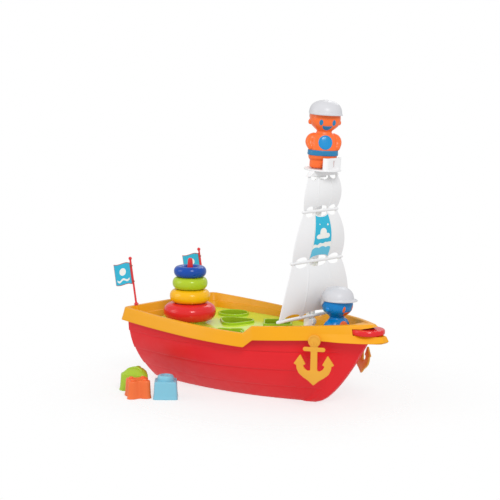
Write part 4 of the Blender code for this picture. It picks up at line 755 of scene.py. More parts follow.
def hole_outlines(grow):
    """Each hole's name and outline, in its place on the deck."""
    play = HOLE_PLAY + grow
    holes = []
    for name, at, turn, outline in (
            ("round", (-0.184, 0.086), 0, circle(0.030 + grow, 72)),
            ("triangle", (-0.118, 0.018), 79, triangle_outline(play)),
            ("quatrefoil", (-0.0445, -0.0819), 41, quatrefoil_outline(play)),
            ("square", (-0.0405, 0.0687), 40, square_outline(BLOCK_SIZE + 2 * play))):
        along = cos(radians(turn))
        across = sin(radians(turn))
        placed = [(at[0] + x * along - y * across, at[1] + x * across + y * along) for x, y in outline]
        holes.append((name, placed))
    return holes


def make_plate():
    """The lime deck plate with its four holes and the foot of the ring stand."""
    low = DECK_SEAT_Z + GAP
    top = low + PLATE_THICKNESS
    inset = DECK_WALL_INSET + PLAY
    plate = loft("sorter_deck_plate", [
        rim_outline(inset, low, PLATE_BOW_X), rim_outline(inset, top - 0.0006, PLATE_BOW_X),
        rim_outline(inset + 0.0006, top, PLATE_BOW_X - 0.0005),
    ], DECK_LIME_WITH_PAINTED_REFLECTION)
    for _, outline in hole_outlines(COLLAR_WALL + GAP):
        cut(plate, prism("hole", outline, low - 0.005, top + 0.005))
    foot = [(0, low + 0.001), (0.0366, low + 0.001)]
    for radius, rise in ((0.0366, 0.0003), (0.0358, 0.0010), (0.035, 0.0022), (0.035, 0.0036),
                         (0.0344, 0.0048), (0.033, 0.0055), (0, 0.0055)):
        foot.append((radius, top + rise))
    join(plate, moved(turned("foot", foot, 72), shift(*STACK_AT, 0)))
    smooth(plate, radians(30))
    fit(plate, "sorter_deck", "lime", "sorter_plate")


def make_collars():
    """A collar for each hole: it hangs in the plate by a flange, and its chute runs down below the deck."""
    top = DECK_SEAT_Z + GAP + PLATE_THICKNESS
    bottom = DECK_SEAT_Z + GAP - 0.0095
    flange = COLLAR_WALL + 0.0012
    profile = rounded((
        (COLLAR_WALL, bottom, 0.0003), (COLLAR_WALL, top + GAP, 0), (flange, top + GAP, 0.0002),
        (flange - 0.0002, top + 0.005, 0.0012), (0.0, top + 0.005, 0.0012), (0.0, bottom, 0.0003),
    ), 0.001)
    levels = [(hole_outlines(grow), z) for grow, z in profile]
    for hole, (name, _) in enumerate(levels[0][0]):
        outlines = [flat_ring(holes[hole][1], z) for holes, z in levels]
        collar = swept_ring(name + "_hole_collar", [list(section) for section in zip(*outlines)], COLLAR_LIME)
        smooth(collar, radians(40))
        fit(collar, "sorter_deck", "lime", "collar_" + name)


def make_rings():
    """The peg on its foot, and the rings resting one on the other."""
    base = PEG_FOOT_Z
    corners = ((0.0118, base), (0.0110, base + 0.030), (0.0056, 0.2615), (0.0048, 0.2690), (0.0026, 0.2712),
               (0, PEG_TOP_Z))
    profile = rounded(corners, 0.0016, 5, closed=False)[1:-1]
    peg = turned("peg_post", [(0, base)] + profile + [(0, PEG_TOP_Z)], 48, POLE_RED)
    fit(peg, "sorter_deck", "bright_red", "ring_peg", shift(*STACK_AT, 0))
    for name, outer, height, material, body, slot in RINGS:
        half = height / 2
        middle = (outer + RING_BORE) / 2
        reach = (outer - RING_BORE) / 2
        profile = []
        for k in range(64):
            angle = TURN * (k + 0.5) / 64
            across = copysign(abs(cos(angle)) ** 0.9, cos(angle))
            up = copysign(abs(sin(angle)) ** 0.94, sin(angle))
            profile.append((middle + reach * across, half * up))
        ring = turned(name + "_torus", profile, 96, material)
        smooth(ring, pi)
        fit(ring, body, slot, name, shift(*STACK_AT, base + half))
        base += height + GAP


POLE_RADIUS = 0.0022
POLE_LENGTH = 0.102
KNOB_RADIUS = 0.0038
FLAG_LENGTH = 0.0515
FLAG_HEIGHT = 0.047
FLAG_FOOT = 0.047
FLAG_HALF = 0.0008
FLAG_WAVE = 0.0030
FLAG_WAVES = 0.95
INK = 0.00012
INK_CLEARANCE = 0.00003


def flag_point(along, up, offset):
    """A point of the waving flag in its pole's frame: shares run aft and up."""
    lift = FLAG_WAVE * sin(TURN * along * FLAG_WAVES) * min(1.0, along * 4)
    x = -(POLE_RADIUS + GAP) - FLAG_LENGTH * along
    return Vector((x, 0.6 * lift + offset, FLAG_FOOT + FLAG_HEIGHT * up + lift * 0.5))


def grid_sheet(name, across, up, point, low, high, material):
    """A closed sheet between two offsets of a surface, which takes shares across and up."""
    points = [point(u, v, offset) for offset in (low, high) for v in up for u in across]
    wide = len(across)
    tall = len(up)
    sheet = wide * tall
    faces = []
    for r in range(tall - 1):
        for a in range(r * wide, (r + 1) * wide - 1):
            faces.append((a, a + wide, a + wide + 1, a + 1))
            faces.append((a + sheet, a + 1 + sheet, a + wide + 1 + sheet, a + wide + sheet))
    edge = list(range(wide)) + list(range(2 * wide - 1, sheet, wide))
    edge += list(range(sheet - 2, sheet - wide - 1, -1)) + list(range(sheet - 2 * wide, 0, -wide))
    for a, b in zip(edge, edge[1:] + edge[:1]):
        faces.append((a, b, b + sheet, a + sheet))
    return make_mesh(name, points, faces, material)


def outline_patch(name, outline, point, low, high, material, rows=10):
    """A closed sheet with a free outline of shares, laid on a surface through rows from its centre."""
    middle = [sum(p[k] for p in outline) / len(outline) for k in (0, 1)]
    count = len(outline)
    points = []
    for offset in (low, high):
        points.append(point(*middle, offset))
        for row in range(1, rows + 1):
            for place in outline:
                u, v = [m + (p - m) * row / rows for m, p in zip(middle, place)]
                points.append(point(u, v, offset))
    sheet = 1 + rows * count
    faces = []
    for i in range(count):
        j = (i + 1) % count
        for base in (0, sheet):
            faces.append((base, base + 1 + i, base + 1 + j))
            for a in range(base + 1, base + 1 + (rows - 1) * count, count):
                faces.append((a + i, a + j, a + j + count, a + i + count))
        last = 1 + (rows - 1) * count
        faces.append((last + i, last + j, last + j + sheet, last + i + sheet))
    return make_mesh(name, points, faces, material)


def ribbon(name, upper, lower, point, low, high, material):
    """A closed band between two edges, each given by as many points in the same order."""

    def across(k, share, offset):
        place = Vector(lower[k]) + (Vector(upper[k]) - Vector(lower[k])) * share
        return point(place.x, place.y, offset)

    return grid_sheet(name, list(range(len(upper))), steps(0, 1, 34), across, low, high, material)


def flag_prints(side):
    """The print on one face of a flag: its ground, a sun and a wave."""
    inner = side * (FLAG_HALF + INK_CLEARANCE)
    middle = inner + side * INK
    outer = middle + side * INK
    wave = [[(u, height + 0.045 * sin(u * 15)) for u in steps(0.14, 0.86, 30)] for height in (0.26, 0.17)]
    across = steps(0.03, 0.972, 48)
    up = steps(0.03, 0.97, 24)
    return [
        grid_sheet("ground", across, up, flag_point, inner, middle, BANNER_CYAN),
        outline_patch("sun", oval((0.5, 0.60), (0.17, 0.17), 31), flag_point, middle, outer, BANNER_WHITE),
        ribbon("wave", *wave, flag_point, middle, outer, BANNER_WHITE),
    ]


def make_flags():
    """The two flagpoles, each with a waving flag held by two sleeves."""
    profile = run_rounded((
        (0.0, -0.010, 0), (0.0031, -0.010, 0.0005), (0.0031, 0.0017, 0), (0.0054, 0.0017, 0.0005),
        (0.0050, 0.0036, 0.0012), (POLE_RADIUS, 0.0066, 0.001), (0.0020, 0.0985, 0),
    ))
    profile += arc((0, POLE_LENGTH + 0.0007), (KNOB_RADIUS, KNOB_RADIUS), -56, 88, 12)
    profile.append((0, POLE_LENGTH + 0.0045))
    across = steps(0, 1, 48)
    up = steps(0, 1, 24)
    inner = POLE_RADIUS + GAP
    for side, word in ((-1, "starboard"), (1, "port")):
        pole = turned("pole_" + word, profile, 40, POLE_RED)
        fit(pole, word + "_flag", "bright_red", "flagpole_" + word, pole_matrix(side))
        panel = grid_sheet("flag", across, up, flag_point, -FLAG_HALF, FLAG_HALF, FLAG_EDGE)
        pieces = [panel] + flag_prints(-1) + flag_prints(1)
        for low in (0.051, 0.085):
            corners = ((inner, low), (0.0032, low), (0.0032, low + 0.003), (inner, low + 0.003))
            pieces.append(turned("sleeve", rounded(corners, 0.0004, 3), 40, FLAG_EDGE))
        flag = merge("waving_flag_" + word, pieces)
        smooth(flag, radians(40))
        fit(flag, word + "_flag", "cyan", "flag_" + word, pole_matrix(side))


# Rigging, in the mast's own frame: Z runs up the mast from its foot

POST_TOP = 0.0600
MAST_TOP = 0.3496
RIB_FRONT = 0.0048
RIB_BACK = -0.0032
RIB_SPACING = 0.0140
RIB_HALF = 0.0025
YARD_RADIUS = 0.0034
YARD_X = RIB_FRONT + GAP + YARD_RADIUS
YARDS = (("boom", 0.0690, 0.1155), ("yard_middle", 0.1840, 0.0843), ("yard_upper", 0.2862, 0.0575))
HEAD_AT = 0.3576
HEAD_HALF = 0.0500
SAILS = (("sail_lower", 0.0070), ("sail_middle", 0.0130), ("sail_upper", 0.0110))
MIDDLE_SAIL_HEIGHT = 0.1024
SAIL_SLOTS = ((-0.86, -0.42), (-0.34, 0.34), (0.42, 0.86))
SLOT_DEPTH = 0.0075
CLOTH_HALF = 0.0008
SEAM_AT = 0.38
SEAM_HALF = 0.014
SEAM_HEIGHT = 0.0005
SAIL_INSET = 0.006
# How far a sail bellies out at its edges, and how much further in its middle
SAIL_BELLY = (0.005, 0.006)
BANNER_SHARE = 0.36
BANNER_LAYER = 0.0003
NEST_AT = 0.3718
NEST_FORWARD = 0.0074
NEST_RADIUS = 0.0375
NEST_WALL_TOP = 0.0235
NEST_WALL_BACK = 0.0195


def make_mast():
    """The post that plugs into the mast step, and two ribs that carry the yards in their front."""
    top = POST_TOP + 0.002
    profile = run_rounded(((0, 0, 0), (POST_RADIUS, 0, 0.0008), (POST_RADIUS, top, 0.002), (0, top, 0)), 5)
    mast = turned("mast_post", profile, 64, SAIL_WHITE)
    half = RIB_SPACING / 2 + RIB_HALF - 0.0005
    bars = []
    for middle in (-RIB_SPACING / 2, RIB_SPACING / 2):
        bars.append((RIB_BACK, middle - RIB_HALF, POST_TOP - 0.004, RIB_FRONT, middle + RIB_HALF, MAST_TOP))
    for _, height, _ in YARDS[1:]:
        bars.append((RIB_BACK + 0.001, -half, height - 0.003, RIB_FRONT - 0.001, half, height + 0.003))
    bars.append((RIB_BACK + 0.0005, -half, MAST_TOP - 0.006, RIB_FRONT - 0.0005, half, MAST_TOP - 0.0008))
    bars.append((RIB_FRONT - 0.002, -0.0055, POST_TOP - 0.008, 0.0132, 0.0055, POST_TOP + 0.0002))
    for bar in bars:
        join(mast, box("bar", bar[:3], bar[3:]))
    soften(mast, 0.0005, 2)
    fit(mast, "rig", "white", "mast", mast_matrix())


def make_yards():
    """The boom and the two yards, round spars that lie across the mast's ribs."""
    for name, height, half in YARDS:
        end = ((0.0021, half), (0.0031, half - 0.0022), (YARD_RADIUS, half - 0.006))
        corners = [(radius, -z) for radius, z in end] + list(reversed(end))
        profile = [(0, -half)] + rounded(corners, 0.002, 5, closed=False) + [(0, half)]
        yard = turned(name + "_spar", profile, 40, SAIL_WHITE)
        across = shift(YARD_X, 0, height) @ Matrix.Rotation(-pi / 2, 4, "X")
        fit(yard, "rig", "white", name, mast_matrix() @ across)


def slot_depth(share):
    """How deep a sail's edge is cut at a place across it: three slots between four tabs."""
    for start, end in SAIL_SLOTS:
        if start < share < end:
            along = 2 * (share - start) / (end - start) - 1
            return SLOT_DEPTH * sqrt(max(0.0, 1 - along * along))
    return 0.0


def sail_shares():
    """Places across a sail, close together where the slots and seams are."""
    shares = [side * share for side in (-1, 1) for share in (1.0, 0.97, 0.93, 0.89)]
    for start, end in SAIL_SLOTS:
        shares += [(start + end) / 2 - (end - start) / 2 * cos(turn) for turn in steps(0, pi, 26)]
    shares += [side * (SEAM_AT + step) for side in (-1, 1) for step in steps(-SEAM_HALF, SEAM_HALF, 4)]
    return sorted(shares)


def sail_surface(index, slotted=True):
    """The surface of a sail as a function of a share across, a share up and an offset to the front."""
    _, low, low_half = YARDS[index]
    _, high, high_half = (YARDS + (("head", HEAD_AT + YARD_RADIUS, HEAD_HALF),))[index + 1]
    roach = SAILS[index][1]

    def point(share, rise, front):
        slot = slot_depth(share) if slotted else 0.0
        bottom = low + YARD_RADIUS + GAP + slot
        top = high - YARD_RADIUS - GAP - slot
        z = bottom + (top - bottom) * rise
        overall = (z - low) / (high - low)
        swell = 4 * overall * (1 - overall)
        half = low_half + (high_half - low_half) * overall - SAIL_INSET + roach * swell
        belly = (SAIL_BELLY[0] + SAIL_BELLY[1] * (1 - share ** 2)) * swell
        away = abs(abs(share) - SEAM_AT) / SEAM_HALF
        seamed = slotted and away < 1 and front > 0 and 0.02 < rise < 0.98
        seam = SEAM_HEIGHT * (1 - away * away) if seamed else 0.0
        return Vector((YARD_X + belly + front + seam, share * half, z))

    return point


def make_sails():
    rises = [0.0, 0.004, 0.012] + steps(0.03, 0.97, 30) + [0.988, 0.996, 1.0]
    for index, (name, _) in enumerate(SAILS):
        point = sail_surface(index)
        sail = grid_sheet(name + "_cloth", sail_shares(), rises, point, -CLOTH_HALF, CLOTH_HALF, SAIL_WHITE)
        soften(sail, 0.0004, 2, radians(60), radians(50))
        fit(sail, "rig", "white", name, mast_matrix())


def crest(u):
    return 0.290 + 0.055 * u + 0.022 * abs(sin(u * 10 + 0.6)) + 0.010 * sin(u * 23)


def sea(u):
    return 0.205 + 0.032 * abs(sin(u * 8.2 + 0.4)) + 0.030 * u * (1 - u)


def make_banner():
    """The sticker down the middle sail: sky, a white crest, a paler sea, a cloud and two drops."""
    plain = sail_surface(1, slotted=False)

    def point(u, v, offset):
        edge = SLOT_DEPTH * sqrt(max(0.0, 1 - (2 * u - 1) ** 2)) / MIDDLE_SAIL_HEIGHT
        return plain(BANNER_SHARE * (2 * u - 1), edge + (1 - 2 * edge) * v, offset)

    paper = CLOTH_HALF + GAP
    low = paper + BANNER_LAYER
    high = low + BANNER_LAYER
    up = steps(0.02, 0.98, 44)
    sheets = [grid_sheet("paper", steps(0, 1, 40), up, point, paper, paper + 0.0004, BANNER_WHITE)]
    for name, start, end, upper, lower, material in (
            ("sky", 0.025, 0.99, lambda u: 0.98, crest, BANNER_CYAN),
            ("pale_sea", 0.0, 1.0, sea, lambda u: 0.02, BANNER_LIGHT)):
        shares = steps(start, end, 60)
        edges = [[(u, edge(u)) for u in shares] for edge in (upper, lower)]
        sheets.append(ribbon(name, *edges, point, low, high, material))
    cloud = []
    for centre, reach, start, end in (
            ((0.27, 0.500), (0.14, 0.058), 262, 75), ((0.50, 0.610), (0.19, 0.100), 172, 12),
            ((0.74, 0.510), (0.14, 0.062), 108, -82)):
        cloud += arc(centre, reach, start, end, 14)
    white = [cloud]
    for centre_u, centre_v, size in ((0.28, 0.800, 0.55), (0.80, 0.770, 0.9)):
        drop = []
        for angle in steps(0, TURN, 28)[:-1]:
            pull = max(0.0, sin(angle)) ** 3
            drop.append((centre_u + 0.062 * size * cos(angle) * (1 - 0.55 * pull),
                         centre_v + (0.021 + 0.018 * pull) * size * sin(angle)))
        white.append(drop)
    for outline in white:
        sheets.append(outline_patch("white", outline, point, high - 0.0001, high + 0.0002, BANNER_WHITE))
    fit(merge("banner_print", sheets), "rig", "cyan", "sail_banner", mast_matrix())


def nest_wall():
    """The outline of the look-out's front wall, a thick C that opens aft."""
    outer = [(0.0285, 0.0200, 0.0016), (0.0272, 0.0238, 0.0016), (0.0235, 0.0250, 0.0016),
             (NEST_WALL_BACK, 0.0250, 0)]
    inner = [(NEST_WALL_BACK, 0.0226, 0), (0.0231, 0.0226, 0.0010), (0.0261, 0.0196, 0.0010)]
    starboard = [[(x, -y, r) for x, y, r in reversed(side)] for side in (outer, inner)]
    return rounded(starboard[0] + outer + inner + starboard[1], 0.001)


def make_nest():
    """The look-out platform on the mast's head, with its front wall and the head yard's bracket."""
    low = -0.0032
    floor = -0.0005
    edge = NEST_RADIUS - 0.0030
    profile = run_rounded(((0.020, low, 0), (NEST_RADIUS, low, 0.0010), (NEST_RADIUS, 0, 0.0010),
                           (edge, 0, 0), (edge - 0.0010, floor, 0.0004)))
    nest = turned("nest_platform", [(0, low)] + profile + [(0, floor)], 96, SAIL_WHITE)
    join(nest, prism("wall", nest_wall(), -0.001, NEST_WALL_TOP))
    cut(nest, box("slit", (0.022, -0.0019, 0.005), (0.035, 0.0019, 0.0185)))
    beam_low = HEAD_AT - NEST_AT
    beam_top = low + 0.001
    forward = YARD_X - NEST_FORWARD
    rings = []
    for share in steps(0, 1, 8):
        reach = HEAD_HALF + (0.0356 - HEAD_HALF) * share ** 0.7
        back = forward - (0.005 + 0.002 * share)
        front = forward + (0.005 + 0.002 * share)
        corners = ((back, -reach), (front, -reach), (front, reach), (back, reach))
        rings.append(flat_ring(rounded(corners, 0.003, 5), beam_low + (beam_top - beam_low) * share))
    join(nest, loft("beam", rings))
    back = RIB_BACK - NEST_FORWARD
    front = RIB_FRONT - NEST_FORWARD
    join(nest, box("socket", (back - 0.0025, -0.012, beam_low - 0.004), (forward, 0.012, beam_top)))
    ceiling = MAST_TOP - NEST_AT + GAP
    cut(nest, box("hollow", (back - GAP, -0.0098, beam_low - 0.01), (front + GAP, 0.0098, ceiling)))
    soften(nest, 0.0004, 2)
    fit(nest, "rig", "white", "crows_nest", mast_matrix() @ shift(NEST_FORWARD, 0, NEST_AT))


# Sailors: height above the feet, half width, half depth, forward shift

SAILOR_SECTIONS = (
    (0.0000, 0.0205, 0.0105, 0.0), (0.0012, 0.0242, 0.0132, 0.0), (0.0050, 0.0257, 0.0149, 0.0),
    (0.0155, 0.0256, 0.0155, 0.0), (0.0178, 0.0272, 0.0175, 0.0), (0.0205, 0.0284, 0.0200, 0.0),
    (0.0260, 0.0289, 0.0215, 0.0), (0.0400, 0.0278, 0.0218, 0.0), (0.0500, 0.0262, 0.0206, 0.0),
    (0.0600, 0.0250, 0.0186, 0.0), (0.0660, 0.0218, 0.0166, 0.0), (0.0705, 0.0166, 0.0144, 0.0),
    (0.0735, 0.0150, 0.0136, 0.0), (0.0760, 0.0158, 0.0148, 0.0005), (0.0790, 0.0192, 0.0190, 0.001),
    (0.0860, 0.0266, 0.0262, 0.001), (0.0930, 0.0299, 0.0293, 0.001), (0.1020, 0.0307, 0.0299, 0.001),
    (0.1120, 0.0287, 0.0279, 0.001), (0.1210, 0.0225, 0.0216, 0.001), (0.1262, 0.0110, 0.0105, 0.001),
)
SAILOR_SQUARENESS = 0.88
HEAD_SHIFT = 0.001
ARM_PATH = (
    (-0.0010, 0.0205, 0.0632, 0.0075), (-0.0010, 0.0248, 0.0590, 0.0094), (-0.0005, 0.0274, 0.0530, 0.0096),
    (0.0025, 0.0272, 0.0475, 0.0084), (0.0065, 0.0262, 0.0430, 0.0070),
)
FIGURE_VOXEL = 0.0007
INLAY_DEPTH = 0.0006
LEG_SLIT_HALF = 0.0012
EYE_FROM_MIDDLE = 0.0130
EYE_Z = 0.0935
EYE_HALF_HEIGHT = 0.0060
MOUTH_Z = 0.0873
BELLY_Z = 0.0532
EAR_AT = (-0.0010, 0.0296, 0.0922)
EAR_RADII = (0.0046, 0.0040, 0.0056)
MOUTH_RADIUS = 0.0098
BELLY_RADIUS = 0.0142
BELT = (0.0262, 0.0372)
INLAY_ROWS = 12
CAP_EDGE_Z = 0.1088
CAP_HALF_WIDTH = 0.0332
CAP_WALL = 0.0012
CAP_TOP_Z = 0.1368
CAP_OUTSIDE = ((0.0, CAP_TOP_Z), (0.20, 0.1364), (0.40, 0.1350), (0.60, 0.1326), (0.78, 0.1286),
               (0.90, 0.1238), (0.97, 0.1180), (1.0, 0.1122))
CAP_LINING = (0.1118, 0.1160, 0.1205, 0.1245)
CAP_LINING_TOP = 0.1272
CAP_GROW = 0.0022
FLAP_DEPTH = 0.0085
FLAP_START = 0.30
FLAP_BLEND = 0.26
PEAK_REACH = 0.0095


def curve_through(rows, count):
    """A smooth run of rows through the given ones, evenly shared between each pair."""
    result = []
    for k in range(len(rows) - 1):
        around = (rows[max(0, k - 1)], rows[k], rows[k + 1], rows[min(len(rows) - 1, k + 2)])
        for t in steps(0, 1, count)[:-1]:
            row = []
            for a, b, c, d in zip(*around):
                value = 2 * b + (c - a) * t + (2 * a - 5 * b + 4 * c - d) * t * t
                row.append(0.5 * (value + (3 * b - a - 3 * c + d) * t ** 3))
            result.append(row)
    return result + [list(rows[-1])]


def edge_point(angle, width, depth, shift, z):
    across = copysign(abs(sin(angle)) ** SAILOR_SQUARENESS, sin(angle))
    along = copysign(abs(cos(angle)) ** SAILOR_SQUARENESS, cos(angle))
    return Vector((shift + depth * along, width * across, z))


def sailor_edge(angle, z, grow):
    """A point of the figure's trunk at an angle from the front, pushed outward by grow."""
    for low, high in zip(SAILOR_SECTIONS, SAILOR_SECTIONS[1:]):
        if z <= high[0]:
            break
    t = clamp((z - low[0]) / (high[0] - low[0]))
    width, depth, shift = [a + (b - a) * t for a, b in zip(low[1:], high[1:])]
    return edge_point(angle, width + grow, depth + grow, shift, z)


def blob(centre, radii):
    """A rounded lump for sculpting with."""
    profile = [(0.0 if abs(r) < 1e-6 else r, z) for r, z in arc((0, 0), (1, 1), -90, 90, 12)]
    return moved(turned("lump", profile, 24), Matrix.Translation(centre) @ Matrix.Diagonal((*radii, 1)))


def sculpt(item, voxel, rounds):
    """Melts overlapping lumps into one smooth skin."""
    remesh = item.modifiers.new("remesh", "REMESH")
    remesh.mode = "VOXEL"
    remesh.voxel_size = voxel
    relax = item.modifiers.new("relax", "SMOOTH")
    relax.factor = 0.5
    relax.iterations = rounds
    apply_modifiers(item)


def surface_below(item):
    """A function that lays a point on a figure's skin, as seen from its front, with an offset forward."""
    shape = bmesh.new()
    shape.from_mesh(item.data)
    tree = BVHTree.FromBMesh(shape)
    shape.free()

    def face(y, z, offset):
        hit = tree.ray_cast(Vector((0.1, y, z)), Vector((-1, 0, 0)))[0]
        return Vector(((hit.x if hit else 0.0) + offset, y, z))

    return face


def round_over(patch, dome, count):
    """Lifts the upper sheet of a patch into a cushion that falls away at its rim."""
    points = patch.data.vertices[1 + INLAY_ROWS * count:]
    for k, point in enumerate(points):
        row = (k + count - 1) // count
        point.co.x += dome * (1 - (row / INLAY_ROWS) ** 6) ** 0.5


def sailor_body(name, skin):
    """Trunk and head, arms with the hands on the hips, ears, and a slit between the legs."""
    rings = []
    for z, *section in curve_through(SAILOR_SECTIONS, 4):
        rings.append([edge_point(TURN * s / 56, *section, z) for s in range(56)])
    lumps = [loft("trunk", rings)]
    for side in (-1, 1):
        for x, y, z, r in curve_through(ARM_PATH, 5):
            lumps.append(blob((x, side * y, z), (r * 1.05, r, r)))
        lumps.append(blob((EAR_AT[0], side * EAR_AT[1], EAR_AT[2]), EAR_RADII))
    figure = merge(name + "_figure", lumps)
    sculpt(figure, FIGURE_VOXEL, 5)
    cut(figure, box("legs", (-0.04, -LEG_SLIT_HALF, -0.001), (0.04, LEG_SLIT_HALF, 0.0165)))
    figure.data.materials.append(skin)
    return smooth(figure, radians(50))


def make_sailor(word, matrix, skin, trim, belly, slots, eye_half):
    """One figure with its face and belly inlays, sash and cap."""
    name = "sailor_" + word
    rider = word + "_sailor"
    figure = sailor_body(name, skin)
    face = surface_below(figure)
    patches = []
    for side, ending in ((1, "_eye_left"), (-1, "_eye_right")):
        eye = oval((side * EYE_FROM_MIDDLE, EYE_Z), (eye_half, EYE_HALF_HEIGHT), 28)
        patches.append((ending, eye, trim, slots[1], 0.0003))
    mouth = []
    for share in steps(1, -1, 14):
        mouth.append((MOUTH_RADIUS * share, MOUTH_Z - 0.0008 * (1 - share ** 2)))
    mouth += arc((0, MOUTH_Z), (MOUTH_RADIUS, MOUTH_RADIUS), 180, 360, 24)[1:-1]
    patches.append(("_mouth", rounded(mouth, 0.0006, 3), trim, slots[1], 0.0003))
    patches.append(("_belly", oval((0, BELLY_Z), (BELLY_RADIUS, BELLY_RADIUS), 56), belly, slots[2], 0.0014))
    for ending, outline, material, slot, lift in patches:
        inlay = name + ending + "_inlay"
        patch = outline_patch(inlay, outline, face, -INLAY_DEPTH, lift * 0.4, material, INLAY_ROWS)
        round_over(patch, lift * 0.6, len(outline))
        smooth(patch, radians(60))
        fit(patch, rider, slot, name + ending, matrix)
    low, high = BELT
    corners = ((-0.002, low, 0), (0.0022, low, 0.0026), (0.0022, high, 0.0026), (-0.002, high, 0))
    profile = rounded(corners, 0.002, 7)
    sections = [[sailor_edge(TURN * s / 72, z, grow) for grow, z in profile] for s in range(72)]
    fit(swept_ring(name + "_sash", sections, TRIM_TEAL), rider, "teal", name + "_belt", matrix)
    fit(make_cap(name + "_helmet"), rider, "white", name + "_cap", matrix)
    fit(figure, rider, slots[0], name + "_body", matrix)


def cap_column(angle, outside):
    """The cap's skin at an angle from the front: dome, rim with its peak or flap, and lining."""
    forward = Vector((cos(angle), sin(angle), 0))
    flap = FLAP_DEPTH * soft_step(clamp((-cos(angle) - FLAP_START) / FLAP_BLEND))
    peak = PEAK_REACH * max(0.0, cos(angle)) ** 1.5
    edge_z = CAP_EDGE_Z - flap
    centre = Vector((HEAD_SHIFT, 0, 0))
    column = [centre + forward * CAP_HALF_WIDTH * share + Vector((0, 0, z)) for share, z in outside]
    ridge = centre + forward * CAP_HALF_WIDTH + Vector((0, 0, CAP_EDGE_Z + 0.0014))
    rim = sailor_edge(angle, edge_z, CAP_GROW)
    for t in steps(0, 1, 5)[1:]:
        if flap:
            column.append(ridge.lerp(rim, t))
        else:
            column.append(ridge + forward * peak * t ** 0.8 - Vector((0, 0, 0.0004 * t)))
    last = column[-1]
    column.append(last - Vector((0, 0, CAP_WALL)) - forward * 0.0003)
    edge = sailor_edge(angle, edge_z, PLAY)
    column.append(Vector((edge.x, edge.y, min(last.z - CAP_WALL, edge_z + 0.0002))))
    return column + [sailor_edge(angle, z, PLAY) for z in CAP_LINING]


def make_cap(name):
    """A helmet with a thin peak at the front and a flap over the nape."""
    sides = 96
    outside = curve_through(CAP_OUTSIDE, 3)[1:]
    columns = [cap_column(TURN * s / sides, outside) for s in range(sides)]
    points = [Vector((HEAD_SHIFT, 0, CAP_TOP_Z)), Vector((HEAD_SHIFT, 0, CAP_LINING_TOP))] + flatten(columns)
    count = len(columns[0])
    faces = []
    for s in range(sides):
        here = 2 + s * count
        there = 2 + (s + 1) % sides * count
        faces.append((0, here, there))
        for k in range(count - 1):
            faces.append((here + k, here + k + 1, there + k + 1, there + k))
        faces.append((here + count - 1, 1, there + count - 1))
    return smooth(make_mesh(name, points, faces, CAP_WHITE), radians(45))


def make_sailors():
    look_out = mast_matrix() @ shift(NEST_FORWARD - 0.0020, 0, NEST_AT + 0.0004)
    look_out = look_out @ Matrix.Rotation(radians(-40), 4, "Z")
    slots = ("orange", "teal", "belly_blue")
    make_sailor("orange", look_out, SAILOR_ORANGE, TRIM_TEAL, BELLY_BLUE, slots, 0.0037)
    bow = shift(0.1722, 0, WELL_FLOOR_Z + GAP)
    slots = ("figure_blue", "orange", "orange")
    make_sailor("blue", bow, SAILOR_BLUE, TRIM_ORANGE, TRIM_ORANGE, slots, 0.0029)


# Anchors, bow disc and blocks

ANCHOR_X = 0.1675
ANCHOR_PEG_DROP = 0.0062
ANCHOR_THICKNESS = 0.0040
ANCHOR_HEAD = 0.0125
STOCK_RADIUS = 0.0042
ANCHOR_SHANK = (
    (0.0066, -0.0208, 0.0020), (0.0069, -0.0581, 0.0030), (0.0090, -0.0605, 0.0030),
    (0.0135, -0.0599, 0.0040), (0.0185, -0.0562, 0.0040), (0.0212, -0.0516, 0.0016),
    (0.0210, -0.0493, 0.0006), (0.0170, -0.0475, 0.0008), (0.0277, -0.0277, 0.0016),
    (0.0408, -0.0470, 0.0012), (0.0355, -0.0498, 0.0008), (0.0345, -0.0572, 0.0050),
    (0.0300, -0.0664, 0.0080), (0.0210, -0.0738, 0.0080), (0.0110, -0.0800, 0.0060),
    (0.0050, -0.0853, 0.0030), (0.0, -0.0894, 0.0012),
)
PEG_RADIUS = 0.0030
PEG_FLANGE = 0.0042
DISC_BORE = 0.0036
BLOCK_HEIGHT = 0.0365
BLOCK_SIDES = ((0.0, 0.992), (0.01, 1.0), (0.05, 0.996), (0.09, 0.984), (0.14, 0.966), (0.21, 0.953),
               (0.30, 0.945), (0.60, 0.923), (0.90, 0.902), (0.955, 0.893), (0.985, 0.876), (1.0, 0.85))
BLOCK_WALL_SHARE = 0.80
BLOCK_CEILING = 0.0025
STUD_FOOT_Z = 0.0355
STUD_RISE = 0.0110
NUB_RISE = 0.0034
NUB_FROM_MIDDLE = 0.0175
DOME_SHARE = 0.83
DOME_STEEPEST = radians(84)
DOME_HEIGHT = 0.0118
DOME_ROUND = 0.0250
RIB_STEPS = 14
RIB_RADIUS = 0.0024
RIB_REACH = (-0.0017, 0.0205)
RIB_FALL = 0.0228
RIB_LIFT = 0.0105


def skirt_foot(x, side):
    """A point of the skirt's lower edge."""
    flare, z = skirt_edge(x)
    along, across = rim_point(x, -flare)
    return Vector((along, side * across, z))


def anchor_matrix(side):
    """The peg's place on the anchor's back: X runs forward, Y up the plate, Z outward."""
    edge = skirt_foot(ANCHOR_X, side)
    forward = skirt_foot(ANCHOR_X + 0.002, side) - edge
    forward = Vector((forward.x, forward.y, 0)).normalized()
    outward = Vector((-forward.y, forward.x, 0)) * side
    at = edge - Vector((0, 0, ANCHOR_PEG_DROP)) + outward * PLAY
    turn = Matrix(((forward.x, 0, outward.x), (forward.y, 0, outward.y), (0, 1, 0))).to_4x4()
    return Matrix.Translation(at) @ turn


